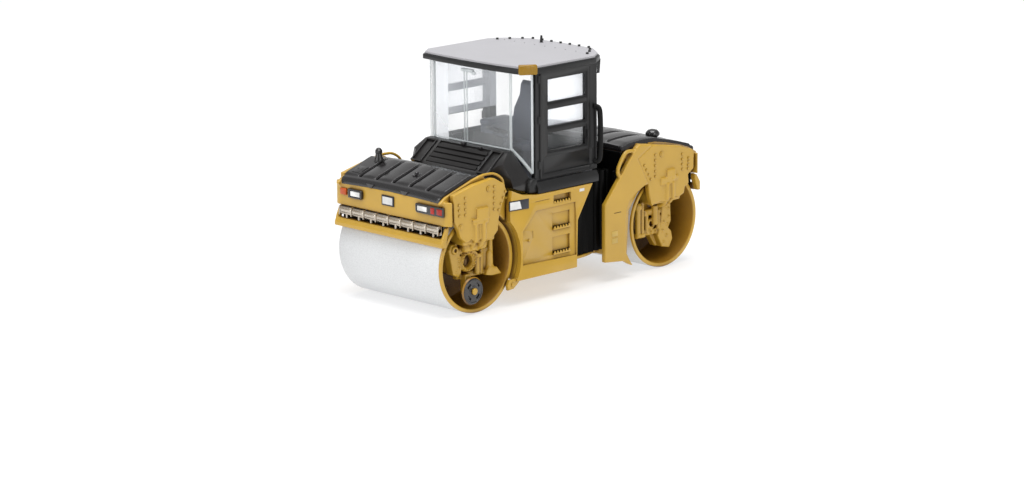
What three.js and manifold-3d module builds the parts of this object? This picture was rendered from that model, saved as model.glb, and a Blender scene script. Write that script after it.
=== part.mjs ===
// A small die-cast toy tandem road roller: two drums, an articulated frame and a glazed cab.
// Millimetres. +X is forwards, +Y is the machine's left, +Z is up, and the drums stand on z = 0.
// Lengths along X are measured from the middle of the wheelbase, and every solid is then moved
// by FRAME_SHIFT so that the origin lies under the middle of the whole toy.
import * as THREE from "three";
import { mergeVertices } from "three/addons/utils/BufferGeometryUtils.js";
import Module from "manifold-3d";

// ---- driving dimensions -------------------------------------------------------------------
const FRAME_SHIFT = -0.2;
const DRUM = { x: 27.55, r: 10.16, skin: 0.5, half: 14.62, lip: 15.1, web: 6.0, hub: 10.0, ring: 0.03 };
const AXLE = { r: 1.5, half: 13.0, clearance: 0.05 };
const PIVOT = { x: -4.5, pin: 1.3, hole: 1.35, bellows: 12.2, steps: 48 };
const BELLY = { low: 5.2, top: 5.75, bellows: 5.85 };
const SIDE = { inner: 15.6, outer: 16.8, plate: 16.95 };
const HOOD = { half: 14.6, rim: 15.8, thick: 1.0 };
const CASTING = { inner: 10.5, outer: 14.2 };
const DOOR = { front: 10.8, rear: -7.0, inner: 14.35, outer: 15.3, low: 24.55, top: 46.6 };
const CAB = { rear: -11.8, cornerRear: 7.6, shelf: 30.0, glass: 0.5 };
const ROOF = { low: 46.7, joint: 47.75, top: 48.25, stud: 0.3, aerial: [-10.1, -3.8] };
const DISC = { x: 29.2, z: 4.85, r: 2.9, inner: 15.3, outer: 15.95, pin: 0.5 };
const CAP = { x: 29.7, y: -11.2, z: 27.35, base: 0.95, head: 0.7, height: 3.2 };
const REAR_CAP = { x: -28.4, y: 11.0, z: 26.5, base: 1.1, head: 1.45, height: 2.55 };
const STEP = { rear: 1.8, front: 7.6, floors: [9.0, 14.1, 19.3], tops: [13.0, 17.95, 21.0] };
const GAP = 0.06;

// ---- materials ----------------------------------------------------------------------------
const finish = (color, roughness, metalness = 0, opacity = 1) =>
  new THREE.MeshStandardMaterial({ color, roughness, metalness, opacity, transparent: opacity < 1 });
const YELLOW = finish(0xd9a528, 0.38);
const BLACK = finish(0x2a2a2c, 0.5);
const DARK_GREY = finish(0x55565a, 0.6);
const ROOF_GREY = finish(0xc4c4c8, 0.45);
const DRUM_WHITE = finish(0xdfe0e2, 0.45, 0.2);
const SILVER = finish(0xc9cacd, 0.35, 0.6);
const STEEL = finish(0xa9abae, 0.3, 0.9);
const CLEAR_PLASTIC = finish(0xf2f5f8, 0.08, 0, 0.35);
const AMBER = finish(0xe08a1a, 0.25);
const LENS_WHITE = finish(0xf3f3ee, 0.25);
const LENS_RED = finish(0xb3271d, 0.25);

// ---- solids -------------------------------------------------------------------------------
const wasm = await Module();
wasm.setup();

// A closed BufferGeometry as a manifold solid.
function solid(geometry) {
  const bare = geometry.index ? geometry.toNonIndexed() : geometry.clone();
  bare.deleteAttribute("normal");
  bare.deleteAttribute("uv");
  const merged = mergeVertices(bare, 1e-4);
  const mesh = { numProp: 3, vertProperties: merged.attributes.position.array };
  mesh.triVerts = new Uint32Array(merged.index.array);
  return new wasm.Manifold(new wasm.Mesh(mesh));
}

const join = (...solids) => solids.reduce((whole, next) => whole.add(next));
const cut = (whole, ...tools) => tools.reduce((left, tool) => left.subtract(tool), whole);

function outline(points) {
  const vectors = points.map(([a, b]) => new THREE.Vector2(a, b));
  if (THREE.ShapeUtils.area(vectors) < 0) vectors.reverse();
  return new THREE.Shape(vectors);
}

function extrude(points, depth, bevel) {
  const settings = { depth: depth - 2 * bevel, bevelEnabled: bevel > 0, bevelSegments: 1 };
  Object.assign(settings, { bevelSize: bevel, bevelThickness: bevel, bevelOffset: -bevel });
  const geometry = new THREE.ExtrudeGeometry(outline(points), settings);
  return geometry.translate(0, 0, bevel);
}

// Outlines in the XZ, XY and YZ planes, drawn out along Y, Z and X.
const prismY = (points, y0, y1, bevel = 0) =>
  solid(extrude(points, y1 - y0, bevel).rotateX(Math.PI / 2).translate(0, y1, 0));
const prismZ = (points, z0, z1, bevel = 0) =>
  solid(extrude(points, z1 - z0, bevel).translate(0, 0, z0));
function prismX(points, x0, x1, bevel = 0) {
  const turn = new THREE.Matrix4().set(0, 0, 1, x0, 1, 0, 0, 0, 0, 1, 0, 0, 0, 0, 0, 1);
  return solid(extrude(points, x1 - x0, bevel).applyMatrix4(turn));
}

const box = (x0, x1, y0, y1, z0, z1, bevel = 0) =>
  prismZ([[x0, y0], [x1, y0], [x1, y1], [x0, y1]], z0, z1, bevel);

// Round bars along Y, Z and X. The two centre values are the other two coordinates in X, Y, Z order.
const barY = (r, y0, y1, x, z, n = 24) =>
  solid(new THREE.CylinderGeometry(r, r, y1 - y0, n).translate(x, (y0 + y1) / 2, z));
const barZ = (r, z0, z1, x, y, n = 24, top = r) =>
  solid(new THREE.CylinderGeometry(top, r, z1 - z0, n).rotateX(Math.PI / 2).translate(x, y, (z0 + z1) / 2));
const barX = (r, x0, x1, y, z, n = 24) =>
  solid(new THREE.CylinderGeometry(r, r, x1 - x0, n).rotateZ(-Math.PI / 2).translate((x0 + x1) / 2, y, z));

// A ring of revolution about the Y axis through x, z. The profile is closed, as [radius, y].
function turnY(profile, x, z, n) {
  const loop = [...profile, profile[0]].map(([r, y]) => new THREE.Vector2(r, y));
  return solid(new THREE.LatheGeometry(loop, n).translate(x, 0, z));
}

// A round rod bent along points.
function rod(points, r, n = 8, steps = 24) {
  const path = new THREE.CatmullRomCurve3(points.map((p) => new THREE.Vector3(...p)), false, "centripetal");
  const ring = new THREE.Shape().absarc(0, 0, r, 0, 2 * Math.PI, false);
  const section = new THREE.Shape(ring.getSpacedPoints(n).slice(0, n));
  return solid(new THREE.ExtrudeGeometry(section, { steps, extrudePath: path, bevelEnabled: false }));
}

// Points on a circle in the XZ plane, from one angle to another in degrees.
function arc(x, z, r, from, to, n) {
  const points = [];
  for (let i = 0; i <= n; i++) {
    const a = THREE.MathUtils.degToRad(from + ((to - from) * i) / n);
    points.push([x + r * Math.cos(a), z + r * Math.sin(a)]);
  }
  return points;
}

// The same solid on the machine's other side.
const mirrored = (shape) => shape.mirror([0, 1, 0]);
const onSide = (shape, side) => (side > 0 ? shape : mirrored(shape));

// ---- the toy ------------------------------------------------------------------------------
const group = new THREE.Group();

function piece(name, shape, material) {
  const { vertProperties, triVerts, numProp } = shape.getMesh();
  const positions = new Float32Array((vertProperties.length / numProp) * 3);
  for (let i = 0; i < positions.length; i++) {
    positions[i] = vertProperties[Math.floor(i / 3) * numProp + (i % 3)];
  }
  const geometry = new THREE.BufferGeometry();
  geometry.setAttribute("position", new THREE.BufferAttribute(positions, 3));
  geometry.setIndex(new THREE.BufferAttribute(triVerts, 1));
  const mesh = new THREE.Mesh(geometry.translate(FRAME_SHIFT, 0, 0), material);
  mesh.geometry.computeVertexNormals();
  mesh.name = name;
  group.add(mesh);
}

const SIDES = { left: 1, right: -1 };

// Front hood line from the lip back to the dip before the cab, and the fender line beside it.
const HOOD_LINE = [[37.0, 24.9], [36.4, 25.4], [33.1, 26.6], [31.0, 27.3], [29.0, 28.0],
  [27.6, 28.3], [26.0, 28.1], [23.8, 27.2], [21.25, 26.5]];
const FENDER_LINE = [[37.9, 24.0], [36.2, 25.1], [33.5, 26.0], [31.0, 26.8], [28.6, 27.6],
  [26.8, 28.0], [25.6, 27.5], [23.8, 26.6], [21.0, 25.8], [19.6, 25.0]];
// The hoop that stands over the rear end of each front fender.
const HOOP_LINE = [[26.9, 27.75], [25.6, 27.95], [24.2, 27.95], [22.8, 27.85], [21.3, 27.2], [20.2, 26.2], [19.9, 24.8]];
// The rear engine hood line, from the front edge to the tail.
const REAR_HOOD_LINE = [[-14.5, 27.9], [-20.0, 28.4], [-24.0, 28.3], [-27.4, 27.5], [-30.0, 26.9],
  [-33.0, 26.1], [-36.0, 25.2], [-36.6, 24.6]];
const REAR_FENDER_LINE = [[-22.4, 27.6], [-24.6, 27.5], [-28.0, 26.85], [-32.2, 25.8],
  [-34.8, 24.9], [-37.2, 23.6]];

const lowered = (line, by) => line.map(([x, z]) => [x, z - by]);

// Yellow casting over the front drum, with the raised fender edge on each side.
function frontBody() {
  const clearance = arc(DRUM.x, DRUM.r, DRUM.r + 0.7, 58, 137, 14);
  const deck = [...lowered(HOOD_LINE.slice(1), HOOD.thick + GAP), [19.6, 25.0], ...clearance.reverse(),
    [33.4, 19.3], [36.6, 19.3], [36.6, 23.8]];
  const middle = prismY(deck, -15.2, 15.2);
  const nose = [[34.2, -17.1], [35.6, -17.1], [36.5, -16.7], [36.95, -15.8], [37.05, -8.0], [37.1, 0],
    [37.05, 8.0], [36.95, 15.8], [36.5, 16.7], [35.6, 17.1], [34.2, 17.1]];
  const face = prismZ(nose, 19.3, 24.2);
  const relief = box(33.0, 35.75, -18, 18, 19.0, 26.0);
  const sideStrips = [1, -1].map((side) => {
    const strip = [...FENDER_LINE, [19.7, 18.4], ...arc(DRUM.x, DRUM.r, DRUM.r + 0.7, 133, 62, 10),
      [35.6, 19.3], [37.0, 19.3], [37.0, 23.6]];
    return onSide(prismY(strip, HOOD.half + GAP, SIDE.plate - 1.55), side);
  });
  const rims = [1, -1].map((side) => onSide(prismY([...FENDER_LINE, [20.6, 23.0], [36.4, 22.4]],
    HOOD.half + GAP, HOOD.rim - 0.45, 0.15), side));
  const hoops = [1, -1].map((side) => rod(HOOP_LINE.map(([x, z]) => [x, side * 15.05, z]), 0.33, 8, 20));
  return join(middle, cut(face, relief), ...sideStrips, ...rims, ...hoops);
}

// Black ribbed hood between the fender edges.
function frontHood() {
  const under = lowered(HOOD_LINE.slice(1), HOOD.thick).reverse();
  const sheet = prismY([...HOOD_LINE, ...under, [37.0, 24.3]], -HOOD.half, HOOD.half);
  const grooved = HOOD_LINE.slice(1, 6);
  const grooves = [-10, -5, 0, 5, 10].map((y) =>
    prismY([...lowered(grooved, -1), ...lowered(grooved, 0.45).reverse()], y - 0.28, y + 0.28));
  const latch = box(31.9, 32.8, 2.4, 3.8, 26.0, 27.6, 0.15);
  const lid = prismY([[35.2, 25.0], [33.0, 26.0], [33.0, 26.95], [35.2, 26.15]], -13.2, -10.8);
  const tabs = [-5.7, 4.4].map((y) => box(36.5, 37.3, y - 0.5, y + 0.5, 24.3, 25.0));
  const seat = barZ(CAP.base + GAP, CAP.z - GAP, 30.0, CAP.x, CAP.y, 20);
  return join(cut(sheet, ...grooves, seat), latch, lid, ...tabs);
}

// Screw cap with a tapered neck, standing on a hood.
function cap({ x, y, z, base, head, height }) {
  const neckTop = z + height * 0.45;
  const crownLow = z + height * 0.75;
  const neck = barZ(base, z, neckTop, x, y, 20, head * 0.9);
  const crown = barZ(head, crownLow, z + height, x, y, 20, head * 0.6);
  return join(neck, barZ(head, neckTop, crownLow, x, y, 20), crown);
}

// Black ramp from the hood's dip up to the windscreen, with sloping shoulders.
function cowl() {
  const side = [[21.1, 25.7], [21.1, 26.35], [15.75, 30.55], [14.7, 30.7], [14.2, 30.7], [12.0, 24.4],
    [12.0, 22.35], [15.4, 23.2], [19.1, 24.7], [19.6, 25.2], [20.2, 25.25]];
  const front = [[-15.3, 22.0], [15.3, 22.0], [15.3, 24.4], [11.9, 30.9], [-11.9, 30.9], [-15.3, 24.4]];
  const plan = [[22, -9.3], [22, 9.3], [18.5, 12.2], [17.4, 14.4], [17.4, 15.3], [11.6, 15.3],
    [13.8, 11.4], [13.8, -11.4], [11.6, -15.3], [17.4, -15.3], [17.4, -14.4], [18.5, -12.2]];
  const block = prismY(side, -15.3, 15.3).intersect(prismX(front, 11, 22)).intersect(prismZ(plan, 22, 31));
  const well = prismY([[20.6, 27.3], [15.9, 30.85], [15.6, 30.3], [20.2, 26.9]], -7.4, 7.4);
  return cut(block, well);
}

// Slatted screen let into the ramp.
function cowlGrille() {
  const rail = (y) => prismY([[20.05, 27.15], [15.75, 30.35], [15.9, 30.62], [20.2, 27.42]], y - 0.35, y + 0.35);
  const slats = [0, 1, 2, 3, 4].map((i) => {
    const x = 16.45 + i * 0.87;
    const z = 30.28 - i * 0.65;
    return prismY([[x - 0.3, z - 0.12], [x + 0.28, z - 0.55], [x + 0.42, z - 0.3], [x - 0.15, z + 0.12]], -7, 7);
  });
  return join(rail(-7.0), rail(7.0), rail(0), ...slats);
}

// Chassis under the cab: hollowed round the bellows, with a round belly plate that carries the hitch pin.
function chassis() {
  const clearance = arc(DRUM.x, DRUM.r, DRUM.r + 0.75, 207, 140, 12);
  const side = [[0.2, 5.2], [-1.0, 15.0], [-2.6, 22.0], [18.6, 22.0], [18.9, 18.2],
    ...clearance.reverse()];
  const block = prismY(side, -SIDE.inner + GAP, SIDE.inner - GAP);
  const room = barZ(PIVOT.bellows + 0.4, BELLY.top, 23.0, PIVOT.x, 0, PIVOT.steps);
  const pockets = STEP.floors.flatMap((floor, i) => [1, -1].map((side) =>
    onSide(box(STEP.rear - 0.3, STEP.front + 0.3, 13.3, 16, floor - 1.0, STEP.tops[i] + 0.2), side)));
  const plan = [[9, -12.4], [9, 12.4], ...arc(PIVOT.x, 0, PIVOT.bellows, 88, 120, 6), [-13.9, 2], [-13.9, -2],
    ...arc(PIVOT.x, 0, PIVOT.bellows, 240, 272, 6)];
  const belly = prismZ(plan, BELLY.low, BELLY.top);
  return cut(join(block, belly), room, barZ(PIVOT.hole, 5, 7, PIVOT.x, 0), ...pockets);
}

// Yellow side panel with a recessed door line and three treads with saw edges.
function sidePanel() {
  const front = arc(DRUM.x, DRUM.r, DRUM.r + 0.75, 208, 136, 12);
  const edge = [[0.5, 5.0], [0.2, 15.0], [-4.2, 22.0], [12.0, 22.05], [15.9, 22.6], [19.0, 23.9], [19.7, 20.6]];
  const sheet = prismY([...edge, ...front.reverse()], SIDE.inner, SIDE.outer, 0.2);
  const windows = STEP.floors.map((floor, i) =>
    box(STEP.rear, STEP.front, 15, 18, floor, STEP.tops[i]));
  const treads = STEP.floors.map((floor) => {
    const plate = box(STEP.rear, STEP.front, 13.5, SIDE.outer, floor - 0.7, floor + 0.05);
    const teeth = [0, 1, 2, 3, 4, 5, 6].map((i) => {
      const x = STEP.rear + 0.42 + i * 0.83;
      return prismY([[x - 0.34, floor], [x + 0.34, floor], [x, floor + 0.5]], 16.2, SIDE.outer);
    });
    return join(plate, ...teeth);
  });
  const door = [[16.6, 8.0], [16.2, 15.25], [11.7, 18.7], [8.4, 18.6], [8.5, 7.7]];
  const inset = [[16.25, 8.32], [15.87, 15.07], [11.58, 18.36], [8.74, 18.28], [8.83, 8.05]];
  const line = cut(prismY(door, SIDE.outer - 0.25, 18), prismY(inset, 16, 19));
  const pull = box(12.5, 14.1, SIDE.outer - 0.5, 18, 13.0, 14.9);
  const lug = prismY([[20.2, 4.4], [19.6, 5.5], [16.8, 5.6], [16.9, 4.7], [18.5, 3.5], [20.0, 3.4]], SIDE.inner,
    SIDE.outer - 0.3, 0.2);
  return join(cut(sheet, ...windows, line, pull), lug, ...treads);
}

// Black sill below the door, with a sloping top.
function sill() {
  return prismX([[15.5, 22.2], [16.6, 22.2], [16.6, 23.4], [15.9, 24.4], [15.5, 24.4]], -6.3, 11.4, 0.12);
}

function cabFloor() {
  const plan = [[11.3, -14.1], [11.3, 14.1], [-6.8, 14.1], [-11.4, 7.4], [-11.4, -7.4], [-6.8, -14.1]];
  const slab = prismZ(plan, 23.1, 24.4);
  return cut(slab, barZ(PIVOT.hole, 22, 26, PIVOT.x, 0));
}

// Shelf across the back of the cab, up to the rear windows.
function cabRearShelf() {
  const plan = [[-7.3, -14.9], [-7.3, 14.9], [CAB.rear, CAB.cornerRear], [CAB.rear, -CAB.cornerRear]];
  return prismZ(plan, 24.46, CAB.shelf);
}

// Door frame with two bars across its window.
function door() {
  const frame = [[DOOR.rear, DOOR.low], [DOOR.rear, DOOR.top], [DOOR.front, DOOR.top],
    [DOOR.front, 26.3], [11.4, DOOR.low]];
  const windows = [[30.1, 33.8], [35.2, 38.7], [40.2, 44.9]].map(([low, high]) =>
    box(-3.8, 7.1, 13, 17, low, high));
  return cut(prismY(frame, DOOR.inner, DOOR.outer, 0.15), ...windows);
}

// Flat pane standing between two plan points, with its lower edge at two heights.
function pane(from, to, lowFrom, lowTo, top) {
  const run = Math.hypot(to[0] - from[0], to[1] - from[1]);
  const sheet = prismY([[0, lowFrom], [run, lowTo], [run, top], [0, top]], -CAB.glass / 2, CAB.glass / 2);
  const angle = THREE.MathUtils.radToDeg(Math.atan2(to[1] - from[1], to[0] - from[0]));
  return sheet.rotate([0, 0, angle]).translate([from[0], from[1], 0]);
}

const roofPlan = (inset) => {
  const front = [[14.3 - inset, -14.1 + inset * 0.5], [14.85 - inset, -7.5], [15.05 - inset, 0]];
  const back = [[-6.0, 16.1 - inset], [-9.4 + inset * 0.8, 13.9 - inset * 0.7], [-12.5 + inset, 9.6 - inset * 0.5],
    [-13.1 + inset, 2.0]];
  const half = [[11.5 - inset * 0.4, -16.1 + inset], ...front];
  const mirror = (list) => list.map(([x, y]) => [x, -y]).reverse();
  return [...half, ...mirror(half).slice(1), ...back, ...mirror(back)];
};

// Small buttons along the roof's rear edges, as [x, y].
function roofStuds() {
  const studs = [-5.4, -2.7, 0, 2.7, 5.4].map((y) => [-12.0, y]);
  for (const side of [1, -1]) studs.push([-12.0, side * 8.2], [-10.6, side * 9.9], [-8.6, side * 11.7], [-6.4, side * 13.2]);
  return studs;
}

function roofFrame() {
  const slab = prismZ(roofPlan(0), ROOF.low, ROOF.joint, 0.12);
  const studs = roofStuds().map(([x, y]) => barZ(ROOF.stud, ROOF.joint - 0.3, ROOF.top + 0.35, x, y, 6));
  const aerial = barZ(0.4, ROOF.joint - 0.3, ROOF.top + 1.45, ...ROOF.aerial, 10, 0.22);
  return join(slab, ...studs, aerial);
}

function roofSkin() {
  const skin = prismZ(roofPlan(0.45), ROOF.joint + GAP, ROOF.top);
  const holes = roofStuds().map(([x, y]) => barZ(ROOF.stud + GAP, 47, 49, x, y, 6));
  return cut(skin, ...holes, barZ(0.5, 47, 50, ...ROOF.aerial, 10));
}

// Amber lamp hooked on the roof's front left corner.
function beacon() {
  const lens = box(-1.9, 1.9, 0.08, 1.2, 46.75, 48.85, 0.2);
  return lens.rotate([0, 0, -35.5]).translate([12.9, 15.1, 0]);
}

// Seat: cushion, tapered back and headrest on a pedestal.
function seat() {
  const profile = [[-3.6, 27.6], [2.6, 27.6], [3.2, 28.3], [3.0, 29.3], [-0.6, 29.4], [-1.4, 35.4],
    [-1.9, 40.8], [-2.5, 41.6], [-3.2, 41.3], [-3.5, 35.5], [-4.0, 28.4]];
  const width = [[-3.6, 27.5], [3.6, 27.5], [3.7, 29.5], [3.3, 35.6], [1.9, 38.6], [1.7, 41.8], [-1.7, 41.8],
    [-1.9, 38.6], [-3.3, 35.6], [-3.7, 29.5]];
  const shell = prismY(profile, -4, 4).intersect(prismX(width, -5, 4));
  return join(shell, box(-2.6, 1.6, -2.4, 2.4, 24.5, 27.7));
}

// Console beside the seat with an armrest on top.
function sideConsole() {
  return join(box(-3.4, 3.6, -8.2, -4.6, 24.5, 32.4, 0.2), box(-3.0, 4.2, -7.8, -5.0, 32.2, 33.4, 0.2));
}

function steeringColumn() {
  const post = prismY([[8.2, 24.5], [10.2, 24.5], [8.4, 31.6], [7.2, 31.3]], -0.9, 0.9);
  const panel = prismY([[8.8, 29.0], [11.0, 29.0], [10.4, 32.4], [7.9, 31.4]], -3.4, 3.4, 0.15);
  return join(post, panel);
}

function steeringWheel() {
  const rim = solid(new THREE.TorusGeometry(2.3, 0.26, 6, 20));
  const hub = barZ(0.6, -0.55, 0.3, 0, 0, 12);
  const spokes = [0, 120, 240].map((turn) => box(0.3, 2.2, -0.2, 0.2, -0.15, 0.15).rotate([0, 0, turn]));
  return join(rim, hub, ...spokes).rotate([0, -22, 0]).translate([6.6, 0, 32.4]);
}

// Fork arm beside a drum: outer plate, neck and the casting that reaches into the drum's end.
// The shape is for the front left drum; the rear ones are the same arm turned end for end.
function supportArm(plate, casting, bolts, screws) {
  const sheet = prismY(plate, SIDE.plate - 1.45, SIDE.plate, 0.15);
  const neck = box(DRUM.x - 4.3, DRUM.x + 5.3, 12.2, SIDE.plate - 1.0, 13.2, 16.6);
  const pod = prismY(casting, CASTING.inner, CASTING.outer, 0.2);
  const motor = barY(3.5, CASTING.inner, CASTING.outer + 0.7, DRUM.x, DRUM.r, 24);
  const ring = barY(2.3, CASTING.inner, CASTING.outer + 1.1, DRUM.x, DRUM.r, 20);
  const post = barZ(0.9, 7.4, 13.6, DRUM.x - 5.2, CASTING.outer, 12);
  const heads = bolts.map(([x, z]) => barY(0.34, SIDE.plate - 0.3, SIDE.plate + 0.22, x, z, 6));
  const caps = screws.map(([x, z]) => barY(0.6, SIDE.plate - 0.3, SIDE.plate + 0.22, x, z, 10));
  const blister = prismY([[24.8, 18.0], [25.6, 22.6], [31.0, 22.8], [31.2, 18.2]], SIDE.plate - 0.4,
    SIDE.plate + 0.3, 0.2);
  const bores = barY(AXLE.r + AXLE.clearance, CASTING.inner - 1, AXLE.half + 0.05, DRUM.x, DRUM.r, 24);
  return cut(join(sheet, neck, pod, motor, ring, post, blister, ...heads, ...caps), bores);
}

const column = (x0, z0, x1, z1, n) =>
  Array.from({ length: n }, (_, i) => [x0 + ((x1 - x0) * i) / (n - 1), z0 + ((z1 - z0) * i) / (n - 1)]);

function frontArm(side) {
  const plate = [[35.4, 25.4], [35.3, 20.0], [33.6, 17.4], [33.2, 15.6], [32.0, 15.1], [24.4, 15.2],
    [23.1, 16.4], [22.65, 19.9], [21.3, 22.6], [20.6, 24.4], [21.3, 25.9], [23.9, 27.4], [24.6, 27.5],
    [29.5, 26.95], [34.8, 25.6]];
  const casting = [[20.2, 7.6], [19.8, 12.6], [22.0, 15.2], [32.8, 15.0], [33.2, 12.0], [31.9, 6.9], [22.0, 6.6]];
  const bolts = [...column(32.1, 24.4, 32.1, 21.2, 4), ...column(34.2, 23.6, 34.2, 20.6, 3),
    ...column(24.0, 25.5, 24.0, 21.2, 4), ...column(21.6, 23.6, 22.9, 20.9, 3)];
  const arm = supportArm(plate, casting, bolts, [[25.6, 25.5], [33.6, 18.9]]);
  if (side < 0) return mirrored(arm);
  const reach = box(28.3, 30.1, 12.4, 15.0, 3.9, 7.6, 0.15);
  const pin = barY(DISC.pin, 14.5, 16.4, DISC.x, DISC.z, 12);
  return join(arm, reach, pin);
}

function rearArm(side) {
  const plate = [[35.2, 24.0], [35.1, 20.4], [33.4, 19.3], [32.3, 16.9], [31.8, 15.0], [24.4, 14.8],
    [21.9, 15.0], [21.4, 16.6], [21.0, 19.3], [17.9, 25.0], [22.2, 27.2], [23.6, 27.2], [30.6, 26.0], [34.6, 24.5]];
  const casting = [[20.3, 7.6], [20.0, 12.6], [22.0, 15.2], [31.2, 15.0], [31.6, 11.0], [30.2, 4.6],
    [28.2, 3.7], [22.6, 5.2]];
  const bolts = [...column(32.0, 23.8, 32.0, 20.8, 4), ...column(34.2, 22.9, 34.2, 20.9, 2),
    ...column(23.0, 25.7, 23.0, 20.9, 5), ...column(19.8, 23.4, 21.6, 20.4, 4)];
  const arm = supportArm(plate, casting, bolts, [[24.9, 25.7], [33.4, 20.9]]);
  const turned = arm.mirror([1, 0, 0]);
  return onSide(turned, side);
}

function axle(x) {
  return barY(AXLE.r, -AXLE.half, AXLE.half, x, DRUM.r, 24);
}

function drumSkin(x) {
  const inner = DRUM.r - DRUM.skin;
  return turnY([[inner, -DRUM.half], [DRUM.r, -DRUM.half], [DRUM.r, DRUM.half], [inner, DRUM.half]], x, DRUM.r, 72);
}

// Drum body inside the skin: a flange over each end, the web and the hub round the axle.
function drumCore(x) {
  const outer = DRUM.r - DRUM.skin - DRUM.ring;
  const shoulder = DRUM.half + DRUM.ring;
  const bore = AXLE.r + AXLE.clearance;
  const half = [[bore, DRUM.hub], [3.0, DRUM.hub], [3.2, DRUM.web], [8.6, DRUM.web], [9.15, DRUM.lip],
    [DRUM.r, DRUM.lip], [DRUM.r, shoulder], [outer, shoulder]];
  const other = half.map(([r, y]) => [r, -y]).reverse();
  return turnY([...other, ...half].reverse(), x, DRUM.r, 44);
}

function bumper() {
  const beam = box(36.75, 38.1, -16.0, 16.0, 15.0, 16.7, 0.2);
  const ends = [1, -1].map((side) => onSide(prismY([[37.5, 15.3], [37.5, 16.9], [36.6, 18.9], [35.9, 19.2],
    [35.9, 18.4], [36.75, 15.3]], 15.3, 15.9, 0.12), side));
  return join(beam, ...ends);
}

// Water bar over a drum, with clamped sections.
function sprayBar(x) {
  const tube = barX(0.5, -14.9, 14.9, 0, 0, 10).rotate([0, 0, 90]);
  const clamps = [...Array(9).keys()].map((i) => {
    const y = (i - 4) * 3.45;
    return box(-0.55, 0.55, y - 1.25, y + 1.25, -0.62, 0.62);
  });
  return join(tube, ...clamps).translate([x, 0, 18.35]);
}

// Black lamp housing with a pocket for the lamp, on the nose's left.
function lampHousing() {
  return cut(box(37.12, 37.67, 8.0, 15.6, 21.3, 23.2, 0.1), box(37.32, 38.07, 8.4, 11.4, 21.65, 22.85));
}

function headlamp() {
  return box(37.4, 37.75, 8.5, 11.3, 21.75, 22.75, 0.08);
}

// Yellow frame behind the pivot: cross wall, deck over the rear drum and the tail.
function rearBody() {
  const clearance = arc(-DRUM.x, DRUM.r, DRUM.r + 0.75, 42, 122, 14);
  const deck = [[-14.5, 4.0], ...lowered(REAR_HOOD_LINE, HOOD.thick + GAP), [-36.6, 19.3], [-34.0, 19.3],
    ...clearance.reverse(), [-16.6, 14.0], [-16.0, 4.0]];
  const middle = prismY(deck, -15.2, 15.2);
  const nose = [[-35.75, -17.1], [-36.4, -16.7], [-36.75, -15.8], [-36.85, 0], [-36.75, 15.8],
    [-36.4, 16.7], [-35.75, 17.1]];
  const face = prismZ(nose, 19.3, 23.5);
  const strips = [1, -1].map((side) => {
    const strip = [...REAR_FENDER_LINE, [-36.8, 19.3], [-34.0, 19.3],
      ...arc(-DRUM.x, DRUM.r, DRUM.r + 0.75, 120, 44, 10), [-17.4, 18.0]];
    return onSide(prismY(strip, HOOD.half + GAP, 15.45), side);
  });
  const tongue = prismZ([[-15.2, -8], [-15.2, 8], ...arc(PIVOT.x, 0, 3.4, 50, -50, 8)], 4.0, 5.1);
  return join(middle, face, ...strips, cut(tongue, barZ(PIVOT.hole, 3, 6, PIVOT.x, 0)));
}

function rearHood() {
  const sheet = prismY([...REAR_HOOD_LINE, ...lowered(REAR_HOOD_LINE, HOOD.thick).reverse()], -HOOD.half, HOOD.half);
  const grooved = REAR_HOOD_LINE.slice(2, 6);
  const grooves = [-10, -5, 0, 5, 10].map((y) =>
    prismY([...lowered(grooved, -1), ...lowered(grooved, 0.45).reverse()], y - 0.28, y + 0.28));
  const seat = barZ(REAR_CAP.head + GAP, REAR_CAP.z - GAP, 30.0, REAR_CAP.x, REAR_CAP.y, 20);
  return cut(sheet, ...grooves, seat);
}

// Black wall across the front of the rear frame, with upright ribs.
function rearBulkhead() {
  const wall = box(-14.44, -13.9, -15.5, 15.5, 6.5, 26.8);
  const ribs = [...Array(10).keys()].map((i) => {
    const y = (i - 4.5) * 3.2;
    return box(-14.2, -13.3, y - 0.9, y + 0.9, 6.5, 22.8, 0.2);
  });
  return join(wall, ...ribs);
}

// Pleated black joint cover that turns with the rear frame round the hitch pin.
function bellows() {
  const pleats = [];
  for (let i = 0; i < 2 * PIVOT.steps; i++) {
    const a = (i / (2 * PIVOT.steps)) * 2 * Math.PI;
    const r = PIVOT.bellows - (i % 2 ? 0.9 : 0);
    pleats.push([PIVOT.x + r * Math.cos(a), r * Math.sin(a)]);
  }
  const tail = [[-13.2, -12.0]];
  for (let x = -12.4; x < PIVOT.x; x += 1.6) tail.push([x, -12.1], [x + 0.8, -11.3]);
  const far = tail.map(([x, y]) => [x, -y]).reverse();
  const front = prismZ(pleats, BELLY.bellows, 22.8).intersect(box(PIVOT.x - 2, PIVOT.x + 13, -13, 13, 5, 24));
  const block = join(front, prismZ([...tail, ...far], BELLY.bellows, 22.8));
  return cut(block, barZ(PIVOT.hole, 5, 24, PIVOT.x, 0));
}

function rearPlate() {
  const sheet = [[-7.95, 4.4], [-7.95, 16.6], [-15.4, 25.1], [-17.6, 27.6], [-18.6, 28.0], [-22.3, 27.5],
    [-17.75, 25.1], [-20.85, 19.4], [-19.9, 18.9], [-17.6, 17.9], [-15.35, 16.3], [-14.6, 14.4], [-14.3, 12.4],
    [-14.3, 5.7], [-16.4, 2.4], [-13.7, 3.8]];
  const loop = prismY([[-13.4, 21.2], [-12.1, 22.6], [-12.2, 24.0], [-13.9, 26.5], [-14.9, 27.0], [-17.2, 27.0],
    [-17.6, 26.4]], 15.9, 16.6, 0.12);
  const slot = prismY([[-13.1, 23.0], [-13.1, 24.1], [-14.5, 26.2], [-15.7, 26.2], [-15.2, 25.4]], 15, 18);
  return join(prismY(sheet, SIDE.inner, SIDE.outer, 0.2), cut(loop, slot));
}

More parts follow.
